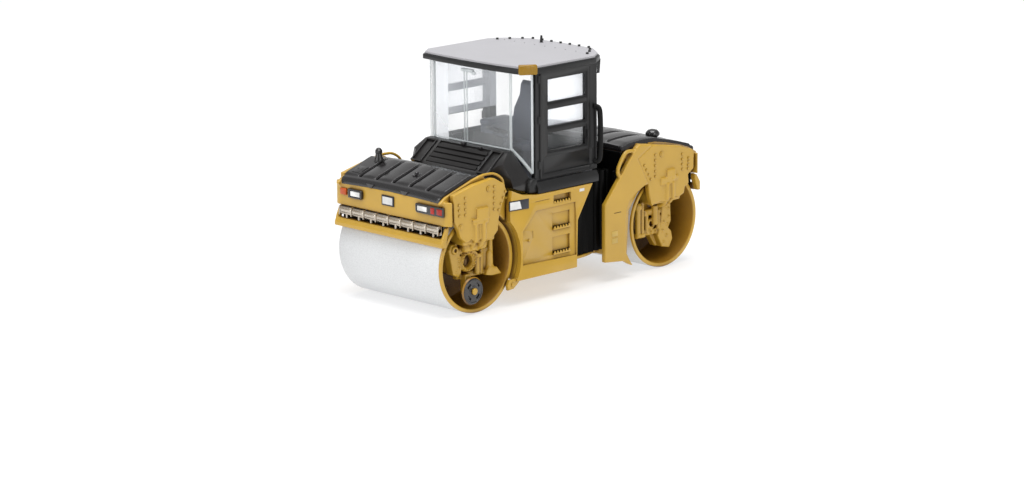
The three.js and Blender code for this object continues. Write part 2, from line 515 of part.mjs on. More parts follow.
function rearBumper() {
  const beam = box(-37.4, -36.6, -15.4, 15.4, 15.3, 16.8, 0.2);
  const ends = [1, -1].map((side) => onSide(prismY([[-37.4, 15.4], [-37.4, 17.2], [-36.3, 18.9],
    [-35.7, 19.1], [-35.7, 18.2], [-36.6, 15.4]], 15.2, 16.6, 0.12), side));
  return join(beam, ...ends);
}

function hitchPin() {
  const head = barZ(2.0, 3.2, 3.94, PIVOT.x, 0, 20);
  return join(barZ(PIVOT.pin, 3.6, 24.9, PIVOT.x, 0, 20), head);
}

function edgeDisc() {
  const bore = DISC.pin + 0.05;
  const rim = [[bore, DISC.inner], [2.2, DISC.inner], [DISC.r, DISC.inner + 0.28], [DISC.r, DISC.inner + 0.34],
    [2.2, DISC.outer - 0.1], [1.5, DISC.outer - 0.1], [1.3, DISC.outer + 0.3], [bore, DISC.outer + 0.3]];
  return turnY(rim, DISC.x, DISC.z, 28);
}

function grabBar() {
  const points = [[-6.2, 15.5, 26.0], [-6.4, 16.3, 26.0], [-6.7, 16.4, 27.5], [-6.9, 16.4, 32], [-6.8, 16.4, 36.5],
    [-6.6, 16.3, 37.7], [-6.2, 15.5, 37.7]];
  return rod(points, 0.32, 8, 20);
}

piece("front_body", frontBody(), YELLOW);
piece("front_hood", frontHood(), BLACK);
piece("front_cap", cap(CAP), BLACK);
piece("cowl", cowl(), BLACK);
piece("cowl_grille", cowlGrille(), BLACK);
piece("chassis", chassis(), YELLOW);
for (const [name, side] of Object.entries(SIDES)) {
  piece("side_panel_" + name, onSide(sidePanel(), side), YELLOW);
  piece("sill_" + name, onSide(sill(), side), BLACK);
  piece("door_" + name, onSide(door(), side), BLACK);
  piece("door_glass_" + name, onSide(box(-4.6, 7.9, 13.75, 14.2, 29.6, 45.5), side), CLEAR_PLASTIC);
  piece("corner_glass_" + name,
    onSide(pane([13.62, 11.35], [11.2, 14.95], 31.0, 26.0, 46.6), side), CLEAR_PLASTIC);
  piece("rear_corner_glass_" + name,
    onSide(pane([-7.35, 14.7], [-11.45, 8.1], 30.06, 30.06, 46.6), side), CLEAR_PLASTIC);
  piece("lamp_housing_" + name, onSide(lampHousing(), side), BLACK);
  piece("headlamp_" + name, onSide(headlamp(), side), LENS_WHITE);
  piece("front_arm_" + name, frontArm(side), YELLOW);
  piece("rear_plate_" + name, onSide(rearPlate(), side), YELLOW);
  piece("rear_arm_" + name, rearArm(side), YELLOW);
  piece("rear_lamp_" + name, onSide(box(-37.3, -36.92, 9.0, 14.5, 21.2, 23.2, 0.1), side), LENS_RED);
}
piece("cab_floor", cabFloor(), BLACK);
piece("cab_rear_shelf", cabRearShelf(), BLACK);
piece("windscreen", pane([13.85, -11.1], [13.85, 11.1], 30.78, 30.78, 46.6), CLEAR_PLASTIC);
piece("rear_glass", pane([-11.55, -7.3], [-11.55, 7.3], 30.06, 30.06, 46.6), CLEAR_PLASTIC);
piece("roof_frame", roofFrame(), BLACK);
piece("roof_skin", roofSkin(), ROOF_GREY);
piece("beacon", beacon(), AMBER);
piece("seat", seat(), DARK_GREY);
piece("console", sideConsole(), DARK_GREY);
piece("steering_column", steeringColumn(), BLACK);
piece("steering_wheel", steeringWheel(), BLACK);
piece("front_bumper", bumper(), YELLOW);
piece("front_spray_bar", sprayBar(37.45), SILVER);
piece("hitch_pin", hitchPin(), STEEL);
piece("grab_bar", grabBar(), BLACK);
piece("front_axle", axle(DRUM.x), STEEL);
piece("front_drum_skin", drumSkin(DRUM.x), DRUM_WHITE);
piece("front_drum_core", drumCore(DRUM.x), YELLOW);
piece("edge_disc", edgeDisc(), BLACK);
piece("rear_body", rearBody(), YELLOW);
piece("rear_hood", rearHood(), BLACK);
piece("rear_cap", cap(REAR_CAP), BLACK);
piece("bellows", bellows(), BLACK);
piece("rear_bulkhead", rearBulkhead(), BLACK);
piece("rear_bumper", rearBumper(), YELLOW);
piece("rear_spray_bar", sprayBar(-37.0), SILVER);
piece("rear_axle", axle(-DRUM.x), STEEL);
piece("rear_drum_skin", drumSkin(-DRUM.x), DRUM_WHITE);
piece("rear_drum_core", drumCore(-DRUM.x), YELLOW);

export default group;
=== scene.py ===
"""Looks of a small die-cast toy tandem road roller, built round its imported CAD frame."""

import sys

import logging
import math
from dataclasses import dataclass
from enum import Enum
from typing import Iterable, Optional, Sequence

import bmesh
import bpy
from mathutils import Matrix, Vector


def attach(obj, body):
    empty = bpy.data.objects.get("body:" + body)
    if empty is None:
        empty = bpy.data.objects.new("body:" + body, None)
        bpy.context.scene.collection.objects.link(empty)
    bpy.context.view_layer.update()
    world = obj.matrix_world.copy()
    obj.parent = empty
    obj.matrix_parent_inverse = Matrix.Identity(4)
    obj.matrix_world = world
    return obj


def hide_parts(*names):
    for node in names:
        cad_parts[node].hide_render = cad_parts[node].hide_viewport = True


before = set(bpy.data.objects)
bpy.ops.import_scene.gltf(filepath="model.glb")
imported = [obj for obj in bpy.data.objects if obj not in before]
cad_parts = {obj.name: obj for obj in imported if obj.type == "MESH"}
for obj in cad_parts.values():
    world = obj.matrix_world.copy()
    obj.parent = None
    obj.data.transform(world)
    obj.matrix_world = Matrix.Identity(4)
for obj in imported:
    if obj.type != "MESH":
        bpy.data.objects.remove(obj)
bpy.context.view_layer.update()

LOG = logging.getLogger("road_roller")
MM = 0.001
SHIFT_X = -0.2  # millimetres from the middle of the wheelbase to the frame's origin
SIDES = {"left": 1, "right": -1}
GRAIN_MM = 0.02  # full height of a finish's grain
MIX_FIRST, MIX_SECOND, MIX_RESULT = 6, 7, 2  # a Mix node's colour sockets, which share their names
CASTING_CELL = 0.13  # millimetres between the points of an arm's cast skin
ACROSS = (0, 1, 0)
UP = (0, 0, 1)

Point = tuple[float, float, float]
Flat = tuple[float, float]
Colour = tuple[float, float, float]


def at(x: float, y: float, z: float) -> Vector:
    """A place given in millimetres from the middle of the wheelbase, in the frame's metres."""
    return Vector(((x + SHIFT_X) * MM, y * MM, z * MM))


# ---- finishes ------------------------------------------------------------------------------


class Shader:
    """Builds one node material, with lengths taken from the object in metres."""

    def __init__(self, name: str) -> None:
        """Start an empty material.

        Args:
            name: the finish's name.
        """
        self.material = bpy.data.materials.new(name)
        self.material.use_nodes = True
        self.tree = self.material.node_tree
        self.tree.nodes.clear()
        self.surface = self.node("ShaderNodeBsdfPrincipled")
        output = self.node("ShaderNodeOutputMaterial")
        self.link(self.surface, "BSDF", output, "Surface")
        self.place = self.node("ShaderNodeTexCoord")

    def node(self, kind: str, **settings: object) -> bpy.types.Node:
        """Add a node and set its properties.

        Args:
            kind: Blender's name for the node.
            settings: property names and their values.

        Returns:
            The new node.
        """
        made = self.tree.nodes.new(kind)
        for key, value in settings.items():
            setattr(made, key, value)
        return made

    def link(self, source: bpy.types.Node, out: str, target: bpy.types.Node, into: str) -> None:
        """Join two sockets by their names."""
        self.tree.links.new(source.outputs[out], target.inputs[into])

    def noise(self, per_mm: float, detail: float = 2.0, roughness: float = 0.5) -> bpy.types.Node:
        """Add a noise texture fixed to the object.

        Args:
            per_mm: how many grains there are in a millimetre.
            detail: octaves of finer noise.
            roughness: strength of the finer octaves.

        Returns:
            The noise node.
        """
        made = self.node("ShaderNodeTexNoise")
        made.inputs["Scale"].default_value = per_mm / MM
        made.inputs["Detail"].default_value = detail
        made.inputs["Roughness"].default_value = roughness
        self.link(self.place, "Object", made, "Vector")
        return made

    def ramp(self, source: bpy.types.Node, out: str,
             stops: Sequence[tuple[float, Colour]]) -> bpy.types.Node:
        """Turn a value into a colour.

        Args:
            source: node that gives the value.
            out: its socket.
            stops: positions with their colours, at least two.

        Returns:
            The ramp node.
        """
        made = self.node("ShaderNodeValToRGB")
        band = made.color_ramp
        while len(band.elements) < len(stops):
            band.elements.new(0.5)
        for element, (place, colour) in zip(band.elements, stops):
            element.position = place
            element.color = (*colour, 1.0)
        self.link(source, out, made, "Fac")
        return made

    def bump(self, height: bpy.types.Node, out: str, depth_mm: float,
             strength: float = 1.0) -> bpy.types.Node:
        """Raise the surface by a texture.

        Args:
            height: node that gives the height.
            out: its socket.
            depth_mm: full height in millimetres.
            strength: how much of it shows.

        Returns:
            The bump node.
        """
        made = self.node("ShaderNodeBump")
        made.inputs["Distance"].default_value = depth_mm * MM
        made.inputs["Strength"].default_value = strength
        self.link(height, out, made, "Height")
        self.link(made, "Normal", self.surface, "Normal")
        return made

    def roughness(self, source: bpy.types.Node, out: str, low: float, high: float) -> None:
        """Vary the gloss between two roughness values.

        Args:
            source: node that gives the value.
            out: its socket.
            low: roughness where the value is 0.
            high: roughness where it is 1.
        """
        spread = self.node("ShaderNodeMapRange")
        spread.inputs["To Min"].default_value = low
        spread.inputs["To Max"].default_value = high
        self.link(source, out, spread, "Value")
        self.link(spread, "Result", self.surface, "Roughness")

    def set(self, **values: object) -> None:
        """Set fixed values on the surface shader, with _ for a space in a socket's name."""
        for key, value in values.items():
            self.surface.inputs[key.replace("_", " ")].default_value = value


def shade(colour: Colour, by: float) -> Colour:
    """The same colour made lighter or darker by a factor."""
    return tuple(min(1.0, c * by) for c in colour)


@dataclass(frozen=True)
class Enamel:
    """Sprayed enamel over cast metal, with painted shade: darker and browner in corners and
    recesses, laid in by ambient occlusion.
    """

    name: str
    slot: str
    colour: Colour
    corner_shade_colour: Colour
    gloss: Flat = (0.3, 0.42)
    corner_shade_mm: float = 1.3
    full_shade_at: float = 0.3
    no_shade_at: float = 0.95

    def build(self) -> bpy.types.Material:
        """Make the material."""
        kit = Shader(self.name)
        clouds = kit.noise(0.12, 3.0)
        paint = kit.ramp(clouds, "Fac",
                         [(0.3, shade(self.colour, 0.94)), (0.7, shade(self.colour, 1.05))])
        # Painted shade: ambient occlusion blends the paint towards its shade colour in corners and
        # recesses.
        corners = kit.node("ShaderNodeAmbientOcclusion", samples=6)
        corners.inputs["Distance"].default_value = self.corner_shade_mm * MM
        depth = kit.node("ShaderNodeMapRange")
        depth.inputs["From Min"].default_value = self.full_shade_at
        depth.inputs["From Max"].default_value = self.no_shade_at
        kit.link(corners, "AO", depth, "Value")
        blend = kit.node("ShaderNodeMix", data_type="RGBA")
        kit.link(depth, "Result", blend, "Factor")
        kit.tree.links.new(paint.outputs["Color"], blend.inputs[MIX_SECOND])
        blend.inputs[MIX_FIRST].default_value = (*self.corner_shade_colour, 1.0)
        kit.tree.links.new(blend.outputs[MIX_RESULT], kit.surface.inputs["Base Color"])
        peel = kit.noise(2.4, 2.0)
        kit.bump(peel, "Fac", GRAIN_MM, 0.5)
        kit.roughness(kit.noise(0.5, 3.0), "Fac", *self.gloss)
        kit.set(Coat_Weight=0.25, Coat_Roughness=0.12, Specular_IOR_Level=0.5)
        return kit.material


@dataclass(frozen=True)
class Moulding:
    """Coloured plastic with a fine spark-eroded grain."""

    name: str
    slot: str
    colour: Colour
    gloss: Flat = (0.42, 0.55)
    grain: float = 0.4
    grain_per_mm: float = 5.0
    unevenness: float = 0.17
    shine: float = 0.5

    def build(self) -> bpy.types.Material:
        """Make the material."""
        kit = Shader(self.name)
        clouds = kit.noise(0.2, 4.0)
        dark = shade(self.colour, 1 - self.unevenness)
        pale = shade(self.colour, 1 + self.unevenness)
        tone = kit.ramp(clouds, "Fac", [(0.3, dark), (0.7, pale)])
        kit.link(tone, "Color", kit.surface, "Base Color")
        grain = kit.noise(self.grain_per_mm, 3.0, 0.6)
        kit.bump(grain, "Fac", GRAIN_MM, self.grain)
        kit.roughness(clouds, "Fac", *self.gloss)
        kit.set(Specular_IOR_Level=self.shine)
        return kit.material


@dataclass(frozen=True)
class SpeckledCoat:
    """Silver-white paint with fine dark and bright specks, as on the drums."""

    name: str
    slot: str
    colour: Colour

    def build(self) -> bpy.types.Material:
        """Make the material."""
        kit = Shader(self.name)
        specks = kit.noise(4.2, 5.0, 0.75)
        stops = [(0.34, shade(self.colour, 0.87)), (0.5, self.colour),
                 (0.66, shade(self.colour, 1.07))]
        tone = kit.ramp(specks, "Fac", stops)
        kit.link(tone, "Color", kit.surface, "Base Color")
        kit.bump(specks, "Fac", GRAIN_MM, 0.25)
        kit.roughness(specks, "Fac", 0.38, 0.6)
        kit.set(Metallic=0.15, Specular_IOR_Level=0.5)
        return kit.material


@dataclass(frozen=True)
class ClearPlastic:
    """Polished transparent plastic, which can be given an emission: painted light that keeps a
    clear sheet as bright as the pale surround behind it.
    """

    name: str
    slot: str
    colour: Colour
    alpha: float = 0.05
    alpha_edge_on: float = 0.75
    painted_glow: float = 0.0
    clear_until: float = 0.3
    cloudy_from: float = 0.95

    def build(self) -> bpy.types.Material:
        """Make the material, clearer seen square on than seen edge on."""
        kit = Shader(self.name)
        ripple = kit.noise(0.15, 1.0)
        kit.bump(ripple, "Fac", GRAIN_MM, 0.12)
        smear = kit.noise(0.4, 3.0)
        kit.roughness(smear, "Fac", 0.03, 0.08)
        facing = kit.node("ShaderNodeLayerWeight")
        facing.inputs["Blend"].default_value = 0.5
        clear = kit.node("ShaderNodeMapRange")
        for key, value in (("From Min", self.clear_until), ("From Max", self.cloudy_from),
                           ("To Min", self.alpha), ("To Max", self.alpha_edge_on)):
            clear.inputs[key].default_value = value
        kit.link(facing, "Facing", clear, "Value")
        kit.link(clear, "Result", kit.surface, "Alpha")
        kit.set(Base_Color=(*self.colour, 1.0), IOR=1.49, Specular_IOR_Level=0.8)
        kit.set(Coat_Weight=0.5, Coat_Roughness=0.03)
        # Painted light: the emission makes the plastic shine though it is no lamp.
        kit.set(Emission_Color=(*self.colour, 1.0), Emission_Strength=self.painted_glow)
        return kit.material


@dataclass(frozen=True)
class Lens:
    """Glossy coloured lamp plastic with fine optic ribs."""

    name: str
    slot: str
    colour: Colour
    ribs_per_mm: float = 2.2

    def build(self) -> bpy.types.Material:
        """Make the material."""
        kit = Shader(self.name)
        ribs = kit.node("ShaderNodeTexWave", wave_type="BANDS", bands_direction="DIAGONAL")
        ribs.inputs["Scale"].default_value = self.ribs_per_mm / MM / 20.0
        kit.link(kit.place, "Object", ribs, "Vector")
        tone = kit.ramp(ribs, "Fac",
                        [(0.2, shade(self.colour, 0.8)), (0.8, shade(self.colour, 1.1))])
        kit.link(tone, "Color", kit.surface, "Base Color")
        kit.bump(ribs, "Fac", GRAIN_MM, 0.3)
        kit.set(Roughness=0.2, Coat_Weight=0.25, Coat_Roughness=0.05, Specular_IOR_Level=0.3)
        return kit.material


@dataclass(frozen=True)
class Metal:
    """Bright or painted metal with fine turning marks."""

    name: str
    slot: str
    colour: Colour
    metallic: float = 1.0
    gloss: Flat = (0.22, 0.4)

    def build(self) -> bpy.types.Material:
        """Make the material."""
        kit = Shader(self.name)
        marks = kit.noise(2.8, 4.0, 0.7)
        tone = kit.ramp(marks, "Fac",
                        [(0.3, shade(self.colour, 0.82)), (0.7, shade(self.colour, 1.1))])
        kit.link(tone, "Color", kit.surface, "Base Color")
        kit.bump(marks, "Fac", 0.015, 0.4)
        kit.roughness(marks, "Fac", *self.gloss)
        kit.set(Metallic=self.metallic)
        return kit.material


# Each enamel's second colour is painted shade for its corners and recesses.
YELLOW = Enamel("golden_enamel", "yellow_paint", (0.53, 0.315, 0.03), (0.11, 0.035, 0.002))
# A darker, browner copy of the yellow with wide occlusion: painted shade over the real yellow paint
# inside the drums, also used on the cutter's edge ring.
SHADED_YELLOW = Enamel("golden_enamel_shaded_inside_drum", "yellow_paint", (0.44, 0.22, 0.014),
                 (0.05, 0.016, 0.001), (0.34, 0.46), 8.0)
BLACK = Moulding("black_satin", "black_moulding", (0.0105, 0.0094, 0.01), (0.2, 0.28), 0.06,
                 shine=0.85)
RAMP_BLACK = Moulding("ramp_black", "black_moulding", (0.0095, 0.0082, 0.008), (0.26, 0.36), 0.2,
                      shine=0.65)
# Near-black, barely reflecting: painted shade, for strips laid where only shadow falls and for
# black parts deep in shade; also one dark seam line.
SHADE_AND_SEAM_BLACK = Moulding("black_shaded", "black_moulding", (0.0022, 0.0022, 0.002), (0.3, 0.45), 0.3,
                      shine=0.1)
CHARCOAL = Moulding("cab_charcoal", "cab_black", (0.009, 0.009, 0.0092), (0.36, 0.46), 0.2,
                    shine=0.4)
CAB_FLOOR = Moulding("cab_floor_grey", "cab_black", (0.13, 0.133, 0.145), (0.4, 0.5), 0.3)
RUBBER = Moulding("seal_black", "cab_black", (0.003, 0.003, 0.003), (0.45, 0.6), 0.5, shine=0.2)
SEAT_GREY = Moulding("seat_grey", "cab_grey", (0.11, 0.125, 0.16), (0.5, 0.65), 0.6, 3.5)
ROOF_GREY = Moulding("roof_grey", "roof_grey", (0.43, 0.425, 0.445), (0.5, 0.56), 0.1, 5.0, 0.02,
                     0.25)
GLAZING = ClearPlastic("clear_glazing", "clear_glazing", (0.9, 0.93, 0.95))
EDGE_CLEAR = ClearPlastic("clear_edge", "clear_glazing", (0.74, 0.79, 0.8), 0.5, 0.8)
INSERT = ClearPlastic("clear_insert", "clear_glazing", (0.88, 0.91, 0.97), 0.2, 0.36, 0.62)
INSERT_FLANGE = ClearPlastic("clear_insert_flange", "clear_glazing", (0.96, 0.97, 0.99), 0.7, 0.8,
                             0.6)
AMBER = Lens("amber_lens", "amber_lens", (0.27, 0.145, 0.003))
ORANGE = Lens("orange_marker", "amber_lens", (0.6, 0.1, 0.02))
WHITE_LENS = Lens("white_lens", "white_lens", (0.8, 0.8, 0.78))
RED_LENS = Lens("red_lens", "red_lens", (0.42, 0.02, 0.012))
SILVER = Metal("silver_paint", "silver_paint", (0.56, 0.5, 0.42), 0.85, (0.2, 0.36))
STEEL = Metal("turned_steel", "steel", (0.14, 0.085, 0.04))
DRUM_COAT = SpeckledCoat("drum_coat", "drum_paint", (0.69, 0.7, 0.705))
BADGE_DARK = Moulding("badge_dark", "black_moulding", (0.012, 0.013, 0.02), (0.25, 0.35), 0.1)
BADGE_PALE = Moulding("badge_pale", "white_lens", (0.74, 0.74, 0.73), (0.25, 0.35), 0.1)
LABEL_GOLD = Moulding("label_gold", "yellow_paint", (0.62, 0.42, 0.09), (0.3, 0.4), 0.1)

Finish = Enamel | Moulding | SpeckledCoat | ClearPlastic | Lens | Metal


class Paintbox:
    """Keeps one material for each finish."""

    made: dict[str, bpy.types.Material] = {}

    @classmethod
    def of(cls, finish: Finish) -> bpy.types.Material:
        """The finish's material, built the first time it is asked for.

        Args:
            finish: the finish to show.

        Returns:
            Its material.
        """
        if finish.name not in cls.made:
            cls.made[finish.name] = finish.build()
        return cls.made[finish.name]


# ---- mesh tools ----------------------------------------------------------------------------


class Body(Enum):
    """The CAD bodies that pieces ride on."""

    FRONT = "front_frame"
    REAR = "rear_frame"
    FRONT_DRUM = "front_drum"
    REAR_DRUM = "rear_drum"
    DISC = "edge_disc"


def add_piece(name: str, mesh: bpy.types.Mesh, body: Body, finish: Finish,
              replaces: Iterable[str] = (), smooth_deg: float = 40.0) -> bpy.types.Object:
    """Place a finished mesh in the scene as a piece of the toy.

    Args:
        name: the piece's name.
        mesh: its mesh, in the frame's metres.
        body: CAD body that it rides on.
        finish: what it is made of.
        replaces: CAD nodes that it stands for.
        smooth_deg: edges sharper than this stay hard.

    Returns:
        The new object.
    """
    piece = bpy.data.objects.new(name, mesh)
    bpy.context.scene.collection.objects.link(piece)
    mesh.materials.clear()
    mesh.materials.append(Paintbox.of(finish))
    mesh.shade_smooth()
    mesh.set_sharp_from_angle(angle=math.radians(smooth_deg))
    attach(piece, body.value)
    for node in replaces:
        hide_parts(node)
    LOG.info("%s: %d faces, rides on %s", name, len(mesh.polygons), body.value)
    return piece


def mesh_from(bm: bmesh.types.BMesh, name: str) -> bpy.types.Mesh:
    """Turn an edit mesh into mesh data and free it.

    Args:
        bm: the edit mesh.
        name: the new mesh's name.

    Returns:
        The mesh data.
    """
    bmesh.ops.recalc_face_normals(bm, faces=bm.faces)
    mesh = bpy.data.meshes.new(name)
    bm.to_mesh(mesh)
    bm.free()
    return mesh


def with_modifiers(mesh: bpy.types.Mesh, *steps: tuple[str, dict[str, object]]) -> bpy.types.Mesh:
    """Run modifiers over a mesh and return the result.

    Args:
        mesh: the mesh to start from.
        steps: modifier types, each with its settings.

    Returns:
        A new mesh with every step applied.
    """
    carrier = bpy.data.objects.new("carrier", mesh)
    bpy.context.scene.collection.objects.link(carrier)
    for kind, settings in steps:
        modifier = carrier.modifiers.new(kind.lower(), kind)
        for key, value in settings.items():
            setattr(modifier, key, value)
    shown = carrier.evaluated_get(bpy.context.evaluated_depsgraph_get())
    result = bpy.data.meshes.new_from_object(shown)
    bpy.data.objects.remove(carrier)
    return result


def rounded(width: float, segments: int = 3, angle: float = 28.0) -> tuple[str, dict[str, object]]:
    """A bevel step that rounds sharp edges.

    Args:
        width: bevel width in millimetres.
        segments: steps across the round.
        angle: edges flatter than this stay as they are, in degrees.

    Returns:
        The modifier step.
    """
    settings = {"width": width * MM, "segments": segments, "limit_method": "ANGLE",
                "angle_limit": math.radians(angle), "use_clamp_overlap": True,
                "harden_normals": True}
    return "BEVEL", settings


def node_mesh(node: str) -> bpy.types.Mesh:
    """A copy of a CAD node's mesh with its flat faces joined up.

    Args:
        node: the CAD node's name.

    Returns:
        The copy.
    """
    bm = bmesh.new()
    bm.from_mesh(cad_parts[node].data)
    bmesh.ops.remove_doubles(bm, verts=bm.verts, dist=0.002 * MM)
    bmesh.ops.dissolve_limit(bm, angle_limit=math.radians(0.5), verts=bm.verts, edges=bm.edges)
    return mesh_from(bm, node)


def softened(node: str, body: Body, finish: Finish, width: float = 0.18,
             segments: int = 3) -> bpy.types.Object:
    """Show a CAD node with rounded edges.

    Args:
        node: the CAD node's name.
        body: the body it belongs to.
        finish: what it is made of.
        width: edge rounding in millimetres.
        segments: steps across the round.

    Returns:
        The piece that stands for the node.
    """
    mesh = with_modifiers(node_mesh(node), rounded(width, segments))
    return add_piece(node + "_finished", mesh, body, finish, [node], 35.0)


def melted(mesh: bpy.types.Mesh, cell: float, relax: int, keep: float = 0.4) -> bpy.types.Mesh:
    """Merge overlapping solids into one cast skin with soft edges and corners.

    Args:
        mesh: the solids.
        cell: size of the skin's cells in millimetres.
        relax: rounds of smoothing, each about half a cell deep.
        keep: share of the faces that stay.

    Returns:
        The cast skin.
    """
    steps = [("REMESH", {"mode": "VOXEL", "voxel_size": cell * MM}),
             ("SMOOTH", {"factor": 0.5, "iterations": relax}),
             ("DECIMATE", {"decimate_type": "COLLAPSE", "ratio": keep})]
    return with_modifiers(mesh, *steps)


def cast_copy(node: str, body: Body, finish: Finish, cell: float = 0.16,
              relax: int = 2) -> bpy.types.Object:
    """Show a CAD node as a casting, with every edge and corner filleted.

    Args:
        node: the CAD node's name.
        body: the body it belongs to.
        finish: what it is made of.
        cell: size of the surface's cells in millimetres.
        relax: rounds of smoothing.

    Returns:
        The piece that stands for the node.
    """
    return add_piece(node + "_cast", melted(node_mesh(node), cell, relax), body, finish, [node],
                     60.0)


def carved(mesh: bpy.types.Mesh, tools: Sequence[bpy.types.Mesh]) -> bpy.types.Mesh:
    """Cut solids out of a mesh.

    Args:
        mesh: the solid to cut.
        tools: the solids to take away.

    Returns:
        What is left.
    """
    cutters = []
    for tool in tools:
        cutter = bpy.data.objects.new("cutter", tool)
        bpy.context.scene.collection.objects.link(cutter)
        cutters.append(cutter)
    steps = [("BOOLEAN", {"operation": "DIFFERENCE", "solver": "EXACT", "object": c})
             for c in cutters]
    result = with_modifiers(mesh, *steps)
    for cutter in cutters:
        bpy.data.objects.remove(cutter)
    return result


class Builder:
    """Collects solids in millimetres from mid-wheelbase and joins them into one mesh."""

    def __init__(self) -> None:
        """Start with nothing."""
        self.bm = bmesh.new()

    def _moved(self, verts: Iterable[bmesh.types.BMVert],
               matrix: Matrix) -> list[bmesh.types.BMVert]:
        """Move fresh vertices from their own place, in millimetres, to the frame.

        Args:
            verts: the fresh vertices.
            matrix: their move, in millimetres.

        Returns:
            The same vertices.
        """
        shift = Matrix.Translation((SHIFT_X * MM, 0, 0)) @ Matrix.Scale(MM, 4)
        verts = list(verts)
        bmesh.ops.transform(self.bm, matrix=shift @ matrix, verts=verts)
        return verts

    def box(self, low: Point, high: Point, bevel: float = 0.12,
            turn: Optional[Matrix] = None) -> "Builder":
        """Add a block with rounded edges.

        Args:
            low: lowest corner.
            high: highest corner.
            bevel: edge rounding.
            turn: turns the block about its own middle.

        Returns:
            This builder.
        """
        size = [h - l for l, h in zip(low, high)]
        middle = Matrix.Translation([(h + l) / 2 for l, h in zip(low, high)])
        cube = bmesh.ops.create_cube(self.bm, size=1.0)["verts"]
        bmesh.ops.transform(self.bm, matrix=Matrix.Diagonal((*size, 1.0)), verts=cube)
        if bevel > 0:
            edges = list({e for v in cube for e in v.link_edges})
            made = bmesh.ops.bevel(self.bm, geom=edges, offset=min(bevel, min(size) * 0.45),
                                   segments=2, affect="EDGES", profile=0.5)
            cube = list({v for f in made["faces"] for v in f.verts})
        self._moved(cube, middle @ (turn or Matrix.Identity(4)))
        return self

    def turned(self, profile: Sequence[Flat], origin: Point, axis: Point = UP,
               steps: int = 32) -> "Builder":
        """Add a turned solid.

        Args:
            profile: radius and height pairs from one end of the axis to the other.
            origin: where the axis starts.
            axis: the axis's direction.
            steps: sides round the axis.

        Returns:
            This builder.
        """
        rings = []
        for radius, height in profile:
            if radius < 1e-6:
                rings.append([self.bm.verts.new((0, 0, height))])
                continue
            turn = [2 * math.pi * i / steps for i in range(steps)]
            rings.append([self.bm.verts.new((radius * math.cos(a), radius * math.sin(a), height))
                          for a in turn])
        for lower, upper in zip(rings, rings[1:]):
            self._bridge(lower, upper, steps)
        aim = Vector(UP).rotation_difference(Vector(axis)).to_matrix().to_4x4()
        self._moved([v for ring in rings for v in ring], Matrix.Translation(origin) @ aim)
        return self

    def _bridge(self, lower: list[bmesh.types.BMVert], upper: list[bmesh.types.BMVert],
                steps: int) -> None:
        """Join two rings of a turned solid, either of which may be a single point.

        Args:
            lower: one ring.
            upper: the next ring.
            steps: sides round the axis.
        """
        if len(lower) == 1 and len(upper) == 1:
            return
        for i in range(steps):
            j = (i + 1) % steps
            if len(lower) == 1:
                self.bm.faces.new((lower[0], upper[i], upper[j]))
            elif len(upper) == 1:
                self.bm.faces.new((lower[i], lower[j], upper[0]))
            else:
                self.bm.faces.new((lower[i], lower[j], upper[j], upper[i]))

    def ring(self, profile: Sequence[Flat], origin: Point, axis: Point, steps: int) -> "Builder":
        """Add a turned solid with a hole, from a closed profile of radius and height pairs.

        Args:
            profile: closed outline, without repeating its first point.
            origin: a point on the axis.
            axis: the axis's direction.
            steps: sides round the axis.

        Returns:
            This builder.
        """
        turn = [2 * math.pi * i / steps for i in range(steps)]
        rings = [[self.bm.verts.new((r * math.cos(a), r * math.sin(a), h)) for a in turn]
                 for r, h in profile]
        for lower, upper in zip(rings, rings[1:] + rings[:1]):
            self._bridge(lower, upper, steps)
        aim = Vector(UP).rotation_difference(Vector(axis)).to_matrix().to_4x4()
        self._moved([v for loop in rings for v in loop], Matrix.Translation(origin) @ aim)
        return self

    def plate(self, outline: Sequence[Flat], low: float, high: float, plane: str = "XZ",
              bevel: float = 0.12) -> "Builder":
        """Add a flat plate with rounded edges.

        Args:
            outline: corner points in the plane.
            low: where the plate starts along the third axis.
            high: where it ends.
            plane: XZ, XY or YZ.
            bevel: edge rounding.

        Returns:
            This builder.
        """
        spread = {"XZ": lambda a, b, c: (a, c, b), "XY": lambda a, b, c: (a, b, c),
                  "YZ": lambda a, b, c: (c, a, b)}[plane]
        bottom = [self.bm.verts.new(spread(a, b, low)) for a, b in outline]
        top = [self.bm.verts.new(spread(a, b, high)) for a, b in outline]
        faces = [self.bm.faces.new(bottom), self.bm.faces.new(top)]
        for i in range(len(outline)):
            j = (i + 1) % len(outline)
            faces.append(self.bm.faces.new((bottom[i], bottom[j], top[j], top[i])))
        verts = bottom + top
        bmesh.ops.recalc_face_normals(self.bm, faces=faces)
        if bevel > 0:
            edges = list({e for f in faces[:2] for e in f.edges})
            made = bmesh.ops.bevel(self.bm, geom=edges, offset=bevel, segments=2, affect="EDGES",
                                   profile=0.5)
            verts = list({v for f in faces + made["faces"] if f.is_valid for v in f.verts})
        self._moved(verts, Matrix.Identity(4))
        return self

